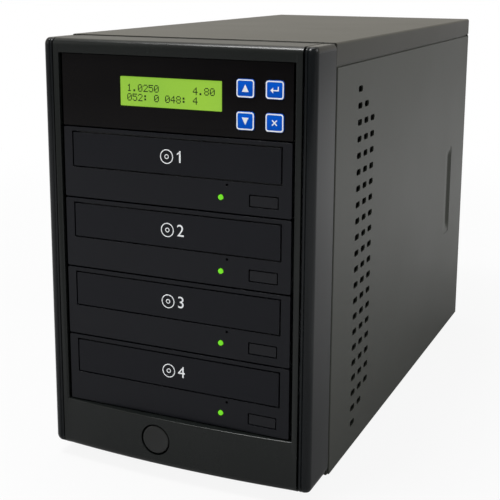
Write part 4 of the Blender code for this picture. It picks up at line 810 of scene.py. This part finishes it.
HOLE_MARGIN = 0.0006
KEYS = ("key_up", "key_down", "key_enter", "key_escape")
polished = moulded("control_panel_gloss", (0.0030, 0.0025, 0.0027), 0.13, 0.11, 60.0, 0.00002)
screen_low, screen_high, (screen_x, _, screen_z), (screen_wide, _, screen_tall) = measured("lcd_glass")
_, _, (_, _, plate_z), (plate_wide, _, plate_tall) = measured("control_panel")
holes = [rounded(screen_x, screen_z, screen_wide + HOLE_MARGIN, screen_tall + HOLE_MARGIN, 0.0004, 3)]
for key in KEYS:
    _, _, (x, _, z), (wide, _, tall) = measured(key)
    holes.append(rounded(x, z, wide + HOLE_MARGIN, tall + HOLE_MARGIN, 0.0018, 6))
front_plate("controller_face", "control_panel", rectangle(0.0, plate_z, plate_wide, plate_tall), holes,
            polished, "case", "panel_gloss", 0.0002, 2)


# Screen: a back-lit character display under clear plastic, with two rows of dark dots.
# Every character is a block of five by seven dots; a tree sets a dot tile on each lit point.
def lit(name, tone, glow, shade, strength):
    """A surface lit from behind, which drifts from its glow to a duller shade in clouds."""
    finish = Finish(name, 0.25, specular=0.3)
    cloud = finish.noise(34.0, 1.0)
    finish.tinted(cloud, tone, 0.8)
    finish.put("Emission Color", finish.mixed(cloud, glow, shade))
    finish.put("Emission Strength", strength)
    return finish.material


backlight = lit("screen_backlight", (0.10, 0.17, 0.02), (0.300, 0.560, 0.035), (0.235, 0.500, 0.042), 0.75)
window = rounded(screen_x, screen_z, screen_wide, screen_tall, 0.0003, 3)
front_plate("screen_window", "lcd_glass", window, (), backlight, "case", "screen_glass", 0.00015, 2)

GLYPHS = {
    "0": "01110 10001 10011 10101 11001 10001 01110", "1": "00100 01100 00100 00100 00100 00100 01110",
    "2": "01110 10001 00001 00010 00100 01000 11111", "4": "00010 00110 01010 10010 11111 00010 00010",
    "5": "11111 10000 11110 00001 00001 10001 01110", "8": "01110 10001 10001 01110 10001 10001 01110",
    ".": "00000 00000 00000 00000 00000 01100 01100", ":": "00000 01100 01100 00000 01100 01100 00000",
    " ": "",
}
CHAR_PITCH, ROW_PITCH, DOT_PITCH, DOT_DEEP = 0.00351, 0.00545, 0.00060, 0.00004
FIRST_DOT_IN, FIRST_DOT_DOWN, DOT_PROUD = 0.0047, 0.0044, 0.00003
dots = Tree("dot_matrix", tile=DOT_PITCH * 0.96, thickness=DOT_DEEP)
given = dots.given
tile = dots.add("MeshCube", Size=dots.vector(given["tile"], given["thickness"], given["tile"]))
dot_ink = moulded("screen_dots", (0.010, 0.022, 0.004), 0.4, 0.2)
dots.end(dots.add("InstanceOnPoints", Points=given["Geometry"], Instance=tile), dot_ink)
lit_points = []
for line, text in enumerate(("1.0250      4.80", "052: 0 048: 4")):
    left, high = screen_low[0] + FIRST_DOT_IN, screen_high[2] - FIRST_DOT_DOWN - line * ROW_PITCH
    for place, sign in enumerate(text):
        for down, bits in enumerate(GLYPHS[sign].split()):
            lit_points += [(left + place * CHAR_PITCH + across * DOT_PITCH, screen_low[1] - DOT_PROUD,
                            high - down * DOT_PITCH) for across, bit in enumerate(bits) if bit == "1"]
mesh = bpy.data.meshes.new("dot_points")
mesh.from_pydata(lit_points, [], [])
piece_of("screen_characters", dots.grown(mesh), None, "case", "screen_glass")


# Keys: four blue caps with a white printed border. Two carry arrow heads, the third a
# return arrow and the fourth a cross; each print is a thin white film on the cap.
def printed(name, tone):
    finish = Finish(name, 0.42, specular=0.35)
    speckle = finish.noise(1800.0, 3.0)
    finish.tinted(speckle, tone, 0.86)
    finish.bumped(speckle, 0.15, 0.00001)
    return finish.material


white_print = printed("white_print", (0.93, 0.95, 0.97))
blue_cap = moulded("blue_key_plastic", (0.0001, 0.070, 0.450), 0.42, 0.04)
PRINT_PROUD, PRINT_ROOT, BORDER_OUT, BORDER_IN = 0.00004, 0.00002, 0.0002, 0.0009
MARKS = {
    "key_up": [(-0.0020, -0.0019), (0.0020, -0.0019), (0.0, 0.0022)],
    "key_down": [(-0.0020, 0.0019), (0.0, -0.0022), (0.0020, 0.0019)],
    "key_enter": [(-0.0026, -0.0003), (-0.0009, 0.0013), (-0.0009, 0.00005), (0.0017, 0.00005),
                  (0.0017, 0.0018), (0.0024, 0.0018), (0.0024, -0.00065), (-0.0009, -0.00065),
                  (-0.0009, -0.0019)],
    "key_escape": [(-0.0017, 0.0012), (-0.0012, 0.0017), (0.0, 0.0005), (0.0012, 0.0017), (0.0017, 0.0012),
                   (0.0005, 0.0), (0.0017, -0.0012), (0.0012, -0.0017), (0.0, -0.0005), (-0.0012, -0.0017),
                   (-0.0017, -0.0012), (-0.0005, 0.0)],
}


def add_print(bm, outline, surface, holes=()):
    """A film of print on a front, rooted in it so that it can't float."""
    add_prism(bm, "XZ", outline, surface - PRINT_PROUD, surface + PRINT_ROOT, holes)


for key in KEYS:
    low, high, (x, _, z), (wide, _, tall) = measured(key)
    front, rings = low[1], []
    for inset, sink in ((0.0, high[1] - front), (0.0, 0.00025), (0.0001, 0.00008), (0.00027, 0.0)):
        outline = rounded(x, z, wide - 2 * inset, tall - 2 * inset, 0.0017 - inset, 8)
        rings.append([(u, front + sink, v) for u, v in outline])
    bm = bmesh.new()
    add_loft(bm, rings)
    piece_of(key + "_cap", bm, blue_cap, key + "_body", "key_plastic", key, smooth_deg=35)
    bm = bmesh.new()
    border = rounded(x, z, wide - 2 * BORDER_OUT, tall - 2 * BORDER_OUT, 0.0015, 8)
    inside = rounded(x, z, wide - 2 * BORDER_IN, tall - 2 * BORDER_IN, 0.0010, 8)
    add_print(bm, border, front, [inside])
    add_print(bm, [(x + u, z + v) for u, v in MARKS[key]], front)
    piece_of(key + "_print", bm, white_print, key + "_body", "key_plastic")


# Circuit boards: green-lacquered cards with faint copper runs under the lacquer. They stand
# behind the controller face, and show only when a side panel is off.
def circuit_card(name, tone):
    finish = Finish(name, 0.35)
    waves = finish.node("TexWave", {"wave_type": "BANDS"}, finish.place(), 420.0, 2.0, 1.0)
    runs = finish.eased(waves, 0.55, 0.70)
    blots = finish.eased(finish.cells(320.0), 0.10, 0.16, 1.0, 0.0)
    finish.put("Base Color", finish.mixed(runs * 0.5 + blots * 0.3, tone, (0.06, 0.24, 0.08)))
    finish.put("Roughness", 0.28 + blots * 0.2)
    return finish.material


card = circuit_card("circuit_card", (0.012, 0.09, 0.035))
for node in ("display_board", "controller_board"):
    dress(node, card, 0.0002)


# Disc drives: four alike. Each has a plated body, a textured black front with a flush tray
# door, a small oblong button, a pinhole and a green lamp, and a loading tray behind the door.
drive_front = moulded("drive_front_plastic", (0.0050, 0.0054, 0.0074), 0.33, 0.175, 2800.0, 0.00003)
door_plastic = moulded("tray_door_plastic", (0.0048, 0.0052, 0.0073), 0.32, 0.155, 2800.0, 0.00003)
eject_plastic = moulded("eject_button_plastic", (0.0052, 0.0055, 0.0074), 0.30, 0.22)
tray_plastic = moulded("tray_plastic", (0.022, 0.022, 0.024), 0.5, 0.3, 1600.0, 0.00004)
drive_steel = plated_steel("drive_plated_steel", (0.60, 0.61, 0.62))
lamp_lens = lit("green_lamp_lens", (0.04, 0.25, 0.01), (0.190, 0.66, 0.012), (0.10, 0.46, 0.010), 1.0)
TRAY_CORNER, WELL_DEPTH, SMALL_WELL_DEPTH, WELL_MARGIN, SLOT_HALF = 0.006, 0.002, 0.0012, 0.003, 0.017
DISC_WELL, SMALL_DISC_WELL = 0.0605, 0.0405


def tray_mesh(node):
    """A loading tray with a full and a small disc well and the slot for the pickup."""
    low, high, (_, y, _), (_, long, _) = measured(node)
    centre_y = low[1] + WELL_MARGIN + DISC_WELL
    solid = bmesh.new()
    add_prism(solid, "XY", rounded(0.0, y, 2 * high[0], long, TRAY_CORNER, 8), low[2], high[2])
    floor = high[2] - WELL_DEPTH
    slot_rear = centre_y + DISC_WELL - 0.003
    pickup = arc(0.0, centre_y, SLOT_HALF, 180, 360, 24) + [(SLOT_HALF, slot_rear), (-SLOT_HALF, slot_rear)]
    for outline, bottom in ((circle(0.0, centre_y, DISC_WELL, 96), floor),
                            (circle(0.0, centre_y, SMALL_DISC_WELL, 96), floor - SMALL_WELL_DEPTH),
                            (pickup, low[2] - 0.001)):
        tool = bmesh.new()
        add_prism(tool, "XY", outline, bottom, high[2] + 0.001)
        solid = carved(solid, tool)
    return stored("tray_shape", solid)


def numeral_mesh(text, size):
    """Numerals as a flat mesh, centred on the origin."""
    curve = bpy.data.curves.new("numeral", "FONT")
    curve.body, curve.size = text, size
    curve.align_x = curve.align_y = "CENTER"
    return evaluated(linked("numeral", curve))


LAMP_SHARE, LAMP_GAP, PINHOLE_RADIUS, PINHOLE_ASIDE, PINHOLE_UP = 0.88, 0.0004, 0.0008, 0.0041, 0.0162
SIDE_PLAY, TOP_PLAY, DOOR_GAP, EJECT_GAP = 0.0004, 0.0006, 0.0018, 0.0014
MARK_X, NUMERAL_ASIDE, NUMERAL_SIZE = -0.0040, 0.0085, 0.0100
DISC_MARK = ((0.0042, 0.00365), (0.0014, 0.0009))
FLAG_OF_ONE = ((-0.0019, 0.0013), (-0.0002, 0.0024), (-0.0002, 0.0034), (-0.0019, 0.0022))
tray_shape = tray_mesh("tray_4")
tray_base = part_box("tray_4")[0][2]
for number in (1, 2, 3, 4):
    tray_body = f"tray_{number}_body"
    low, _, (_, _, z), (wide, _, tall) = measured(f"drive_bezel_{number}")
    door_low, _, (_, _, door_z), (door_wide, _, door_tall) = measured(f"tray_door_{number}")
    _, _, (eject_x, _, eject_z), (eject_wide, _, eject_tall) = measured(f"eject_button_{number}")
    lamp_low, lamp_high, (lamp_x, _, lamp_z), (lamp_wide, _, _) = measured(f"drive_lamp_{number}")
    lamp_radius = LAMP_SHARE * lamp_wide / 2

    holes = [rounded(0.0, door_z, door_wide + DOOR_GAP, door_tall + DOOR_GAP, 0.0004, 3),
             rounded(eject_x, eject_z, eject_wide + EJECT_GAP, eject_tall + EJECT_GAP, 0.0006, 4),
             circle(lamp_x, lamp_z, lamp_radius + LAMP_GAP, 32),
             circle(lamp_x + PINHOLE_ASIDE, low[2] - BAY_GAP + PINHOLE_UP, PINHOLE_RADIUS, 20)]
    outline = rounded(0.0, z, wide - SIDE_PLAY, tall - TOP_PLAY, 0.0008, 4)
    front_plate(f"drive_front_{number}", f"drive_bezel_{number}", outline, holes, drive_front, "case",
                "drive_plastic", 0.0003, 3)
    outline = rounded(0.0, door_z, door_wide, door_tall, 0.0003, 3)
    front_plate(f"tray_door_face_{number}", f"tray_door_{number}", outline, (), door_plastic, tray_body,
                "drive_plastic", 0.0003, 3)
    outline = rounded(eject_x, eject_z, eject_wide, eject_tall, 0.0004, 4)
    front_plate(f"eject_cap_{number}", f"eject_button_{number}", outline, (), eject_plastic,
                f"eject_{number}_body", "eject_plastic", 0.0003, 3)

    dome = [(0.0001, lamp_low[1]), (lamp_radius * 0.6, lamp_low[1] + 0.00005),
            (lamp_radius, lamp_low[1] + 0.0003), (lamp_radius, lamp_high[1])]
    bm = bmesh.new()
    add_turned(bm, "XZ", lamp_x, lamp_z, dome, 28)
    piece_of(f"lamp_lens_{number}", bm, lamp_lens, "case", "lamp_green", f"drive_lamp_{number}",
             smooth_deg=40)

    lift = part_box(f"tray_{number}")[0][2] - tray_base
    bm = opened(tray_shape, Matrix.Translation((0.0, 0.0, lift)))
    edged(piece_of(f"loading_tray_{number}", bm, tray_plastic, tray_body, "tray_plastic", f"tray_{number}"),
          0.0002, 2, 50)

    # A plain disc mark and the drive's number stand on the door; the 1 gets its flag.
    face = door_low[1]
    bm = bmesh.new()
    for outer, inner in DISC_MARK:
        add_print(bm, circle(MARK_X, door_z, outer, 40), face, [circle(MARK_X, door_z, inner, 40)])
    numeral = opened(numeral_mesh(str(number), NUMERAL_SIZE))
    if number == 1:
        numeral.faces.new([numeral.verts.new((u, v, 0.0)) for u, v in FLAG_OF_ONE])
    upright = Matrix.Rotation(math.pi / 2, 4, "X")
    stand = Matrix.Translation((MARK_X + NUMERAL_ASIDE, face - PRINT_PROUD, door_z)) @ upright
    bmesh.ops.transform(numeral, verts=numeral.verts, matrix=stand)
    bm.from_mesh(stored("numeral", numeral))
    piece_of(f"door_mark_{number}", bm, white_print, tray_body, "drive_plastic")
    dress(f"drive_body_{number}", drive_steel, 0.0005)


# Power supply: a plated steel box screwed to the rear wall, with its fan, mains socket and
# switch in the rear face. The socket has a chamfered shroud and three brass blades.
dress("power_supply", plated_steel("supply_plated_steel", (0.50, 0.51, 0.52)), 0.0004)
black_fitting = moulded("socket_plastic", (0.012, 0.012, 0.012), 0.42, 0.35)
brass = bright_metal("socket_blade_brass", (0.62, 0.50, 0.27), 0.3)
FLANGE, SHROUD_WALL, BLADE_WIDE, BLADE_TALL = 0.0015, 0.0014, 0.002, 0.004
BLADE_SPOTS = ((-0.007, -0.002), (0.007, -0.002), (0.0, 0.002))
inlet_low, inlet_high, (inlet_x, _, inlet_z), (inlet_wide, _, inlet_tall) = measured("power_inlet")


def chamfered(inset, chamfer):
    """The outline of a mains socket: a rectangle whose two upper corners are cut."""
    width, height = inlet_wide - 2 * inset, inlet_tall - 2 * inset
    left, right = inlet_x - width / 2, inlet_x + width / 2
    low, high = inlet_z - height / 2, inlet_z + height / 2
    return [(left, low), (right, low), (right, high - chamfer), (right - chamfer, high),
            (left + chamfer, high), (left, high - chamfer)]


inlet_front, inlet_rear = inlet_low[1], inlet_high[1]
flange_front = inlet_rear - 0.002
mouth = chamfered(FLANGE + SHROUD_WALL, 0.0033)
bm = bmesh.new()
add_prism(bm, "XZ", chamfered(FLANGE, 0.004), inlet_front, flange_front + 0.0002, [mouth])
add_prism(bm, "XZ", chamfered(0.0, 0.004), flange_front, inlet_rear, [mouth])
add_prism(bm, "XZ", chamfered(FLANGE + 0.0005, 0.0036), inlet_front + 0.0002, inlet_front + 0.003)
edged(piece_of("socket_shroud", bm, black_fitting, "case", "socket_plastic", "power_inlet"), 0.0003, 2)
bm = bmesh.new()
for across, up in BLADE_SPOTS:
    blade = rectangle(inlet_x + across, inlet_z + up, BLADE_WIDE, BLADE_TALL)
    add_prism(bm, "XZ", blade, inlet_front + 0.0025, inlet_rear - 0.0055)
edged(piece_of("socket_blades", bm, brass, "case", "socket_plastic"), 0.0003, 2)
dress("mains_switch_housing", black_fitting, 0.0003)
dress("mains_rocker", moulded("rocker_plastic", (0.014, 0.014, 0.014), 0.3, 0.4), 0.0004, 3)


# Fans: two alike, each with seven swept blades on a round hub, in black plastic. The tree
# turns copies of one blade about the hub; the case fan sits in its own square housing.
fan_plastic = moulded("fan_plastic", (0.010, 0.010, 0.010), 0.38, 0.35, 1200.0, 0.00002)
HUB, TIP, CHORD, BLADE, HUB_ROUND, HUB_EASE = 0.018, 0.0365, 0.015, 0.0012, 0.0015, 0.001
SWEEP, SWEEP_LOSS, TIP_LEAD = math.radians(34), 0.15, 0.10
CAMBER, BLADE_ROOT, BLADE_STEPS = 0.0012, 0.0005, 8
blades = Tree("blade_ring", copies=7)
given = blades.given
spots = blades.add("MeshLine", Count=given["copies"], Offset=(0.0, 0.0, 0.0))
facing = blades.vector(z=blades.add("InputIndex") * (2 * math.pi / given["copies"]))
turned = blades.add("InstanceOnPoints", Points=spots, Instance=given["Geometry"], Rotation=facing)
blades.end(turned, fan_plastic)


def blade_point(skin, i, j):
    """A place on one skin of a blade, i steps out from the hub and j steps along its chord."""
    out, share = i / BLADE_STEPS, j / BLADE_STEPS - 0.5
    radius = HUB - BLADE_ROOT + (TIP - HUB + BLADE_ROOT) * out
    turn = SWEEP * share * (1.0 - SWEEP_LOSS * out) + TIP_LEAD * out
    lift = CHORD * share + CAMBER * math.sin(math.pi * (share + 0.5)) + skin * BLADE / 2
    return radius * math.cos(turn), radius * math.sin(turn), lift


bm = bmesh.new()
for skin in (-1, 1):
    rows = [[blade_point(skin, i, j) for j in range(BLADE_STEPS + 1)] for i in range(BLADE_STEPS + 1)]
    add_skin(bm, rows, inside_out=skin < 0)
bmesh.ops.bridge_loops(bm, edges=[edge for edge in bm.edges if edge.is_boundary])
blade_ring = blades.grown(stored("one_blade", bm))
for node in ("power_supply_fan", "rear_fan"):
    low, high, (_, middle, _), _ = measured(node)
    x, _, z = next(joint for joint in frame["joints"] if joint["child"] == node + "_body")["pos_m"]
    bm = opened(blade_ring, facing_rear(x, middle, z))
    hub = [(HUB - HUB_EASE, low[1]), (HUB, low[1] + HUB_EASE)]
    hub += [(HUB - HUB_ROUND + u, high[1] - HUB_ROUND + v) for u, v in arc(0.0, 0.0, HUB_ROUND, 0, 90, 6)]
    add_turned(bm, "XZ", x, z, hub, 64)
    piece_of(node + "_rotor", bm, fan_plastic, node + "_body", "fan_plastic", node, smooth_deg=40)
dress("rear_fan_frame", fan_plastic, 0.0003)


# Finger guards: bright wire rings on four arms in front of each fan. One tree makes the
# rings and arms as curves and gives them the wire's round section.
guard = Tree("wire_guard", rings=5, first_radius=0.0075, ring_pitch=0.0067, wire=0.0008,
             arm_start=0.0075, arm_end=0.0350)
given = guard.given
round_wire = guard.add("CurvePrimitiveCircle", Resolution=10, Radius=given["wire"])


def wired(line, spots, **placing):
    """Copies of a line on a tree's points, drawn as round wire."""
    copies = guard.add("InstanceOnPoints", Points=spots, Instance=line, **placing)
    real = guard.add("RealizeInstances", Geometry=copies)
    return guard.add("CurveToMesh", Curve=real, Profile_Curve=round_wire, Fill_Caps=True)


ring_spots = guard.add("MeshLine", Count=given["rings"], Offset=(0.0, 0.0, 0.0))
ring_radius = given["first_radius"] + guard.add("InputIndex") * given["ring_pitch"]
unit_ring = guard.add("CurvePrimitiveCircle", Resolution=72, Radius=1.0)
ring_wires = wired(unit_ring, ring_spots, Scale=guard.vector(ring_radius, ring_radius, 1.0))
arm_spots = guard.add("MeshLine", Count=4, Offset=(0.0, 0.0, 0.0))
arm_line = guard.add("CurvePrimitiveLine", Start=guard.vector(given["arm_start"]),
                     End=guard.vector(given["arm_end"]))
arm_turn = guard.add("InputIndex") * (math.pi / 2) + math.pi / 4
arm_wires = wired(arm_line, arm_spots, Rotation=guard.vector(z=arm_turn))
behind = guard.add("Transform", Geometry=arm_wires, Translation=guard.vector(z=given["wire"] * -1.4))
guard.end(guard.joined(ring_wires, behind), bright)

WIRES_BACK, GUARD_SCREW_BACK, CASE_FAN_SPREAD, SUPPLY_IN, SUPPLY_UP = 0.0020, 0.0012, 0.03575, 0.0022, 0.006
for node, reach in (("power_supply_guard", 0.0372), ("rear_fan_guard", 0.0485)):
    low, _, (x, _, z), _ = measured(node)
    wires = guard.grown(bpy.data.meshes.new("guard_seed"), arm_end=reach)
    bm = opened(wires, facing_rear(x, low[1] + WIRES_BACK, z))
    piece_of(node + "_wires", bm, bright, "case", "bright_steel", node, smooth_deg=50)
low, _, (x, _, z), _ = measured("rear_fan_guard")
corners = [(x + across * CASE_FAN_SPREAD, low[1] + GUARD_SCREW_BACK, z + up * CASE_FAN_SPREAD)
           for across in (-1, 1) for up in (-1, 1)]
screws_at("case_fan_screws", corners, (0, 1, 0))
low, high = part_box("power_supply")
wall_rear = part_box("chassis")[1][1]
corners = [(x, wall_rear, z) for x in (low[0] + SUPPLY_IN, high[0] - SUPPLY_IN)
           for z in (low[2] + SUPPLY_UP, high[2] - SUPPLY_UP)]
screws_at("supply_screws", corners, (0, 1, 0))


# Studio: a pale floor under a white surround, broad soft lamps, and the camera where the
# photograph was taken from, in front and to the right, a little above the machine's top.
CAMERA_RAY, GLOSSY_RAY, TRANSMISSION_RAY = 0, 3, 6


def stage_floor():
    """White to the camera. In reflections its colour and glow are painted shade and light: darker near the
    machine and far ahead, brighter beside it.
    """
    finish = Finish("studio_floor", 0.8, specular=0.1)
    camera_ray = finish.node("LightPath", {}, output=CAMERA_RAY)
    glossy_ray = finish.node("LightPath", {}, output=GLOSSY_RAY)
    distance = finish.node("VectorMath", {"operation": "LENGTH"}, finish.place())
    across = finish.node("SeparateXYZ", {}, finish.place(), output=0)
    along = finish.node("SeparateXYZ", {}, finish.place(), output=1)
    # Painted shade in reflections: the floor's colour turns almost black far ahead and darker near the
    # machine.
    far_ahead = finish.eased(along, -2.4, -1.2, 1.0, 0.0)
    ahead = far_ahead * finish.eased(across, -1.6, -0.9, 0.0, 1.0) * glossy_ray
    near = glossy_ray * finish.eased(distance, 0.2, 0.8, 1.0, 0.0)
    reflected_shade_floor = finish.mixed(near, (0.55, 0.55, 0.55), (0.36, 0.36, 0.36))
    finish.put("Base Color", finish.mixed(ahead, reflected_shade_floor, (0.06, 0.06, 0.06)))
    # Painted reflection: the glow that reflections see is weak near the machine, stronger beside it and
    # fades far off.
    beside = finish.eased(across, 0.22, 0.36, 0.0, 0.7) * finish.eased(along, -0.10, 0.10, 1.0, 0.0)
    far_off = finish.eased(distance, 1.3, 3.5, 1.0, 0.35)
    mirrored_share = (finish.eased(distance, 0.2, 1.0, 0.08, 0.55) + beside) * far_off
    seen_share = camera_ray * finish.eased(distance, 0.25, 1.1, 0.90, 1.0)
    share = seen_share + glossy_ray * mirrored_share * (1.0 - ahead)
    glow = finish.node("Emission", {}, (1.0, 1.0, 1.0), 1.0)
    lit_floor = finish.node("MixShader", {}, share, Amount(finish, finish.surface.outputs[0]), glow)
    finish.feed(finish.tree.nodes["Material Output"].inputs["Surface"], lit_floor)
    return finish.material


FLOOR_HALF, FLOOR_DROP = 6.0, 0.0002
bm = bmesh.new()
bmesh.ops.create_grid(bm, x_segments=1, y_segments=1, size=FLOOR_HALF)
floor = linked("studio_floor", stored("studio_floor", bm))
floor.data.materials.append(stage_floor())
floor.location.z = -FLOOR_DROP

world = bpy.data.worlds.new("studio")
bpy.context.scene.world = world
world.use_nodes = True
surround = Nodes(world.node_tree)
background = world.node_tree.nodes["Background"]
seen = surround.node("LightPath", {}, output=CAMERA_RAY)
mirrored = surround.node("LightPath", {}, output=GLOSSY_RAY)
passed = surround.node("LightPath", {}, output=TRANSMISSION_RAY)
direction = surround.node("TexCoord", {}, output=0)
heading = surround.node("SeparateXYZ", {}, direction, output=1)
skyward = surround.node("SeparateXYZ", {}, direction, output=2)
mirrored_level = surround.eased(heading, -0.4, 0.5, 0.34, 0.68)
level = 0.50 + 0.50 * (seen + passed) + mirrored * (mirrored_level - 0.50)
surround.feed(background.inputs["Strength"], level)
warmth = mirrored * surround.eased(skyward, -0.05, 0.12)
surround.feed(background.inputs["Color"], surround.mixed(warmth, (1.0, 1.0, 1.0), (1.0, 0.955, 0.86)))


MACHINE_MIDDLE = Vector((0.0, 0.0, 0.13))


def soft_lamp(name, place, width, height, power):
    """A broad lamp that looks at the middle of the machine."""
    lamp = bpy.data.lights.new(name, "AREA")
    lamp.shape = "RECTANGLE"
    lamp.size, lamp.size_y, lamp.energy = width, height, power
    item = linked(name, lamp)
    item.location = place
    item.rotation_euler = (MACHINE_MIDDLE - Vector(place)).to_track_quat("-Z", "Y").to_euler()


soft_lamp("overhead_lamp", (-0.20, 0.10, 1.45), 0.9, 0.7, 6.0)
soft_lamp("edge_lamp", (-0.22, -0.40, 1.20), 0.44, 0.24, 11.5)
soft_lamp("side_lamp", (1.3, 0.3, 1.2), 0.7, 0.9, 7.0)
soft_lamp("fill_lamp", (-1.4, -1.0, 0.8), 1.0, 1.0, 3.0)

camera_data = bpy.data.cameras.new("photo_camera")
camera_data.sensor_width, camera_data.lens = 36.0, 74.156
camera_data.shift_y = -0.14
camera_data.clip_start = 0.05
camera = linked("photo_camera", camera_data)
camera.location = (0.27324, -0.69255, 0.30122)
azimuth, pitch, roll = math.radians(23.917), math.radians(11.427), math.radians(0.338)
look = Vector((-math.sin(azimuth) * math.cos(pitch), math.cos(azimuth) * math.cos(pitch), -math.sin(pitch)))
across = Vector((math.cos(azimuth), math.sin(azimuth), 0.0))
upward = across.cross(look)
right = across * math.cos(roll) + upward * math.sin(roll)
up = upward * math.cos(roll) - across * math.sin(roll)
camera.rotation_euler = Matrix((right, up, -look)).transposed().to_euler()
scene = bpy.context.scene
scene.camera = camera
scene.view_settings.view_transform = "Standard"
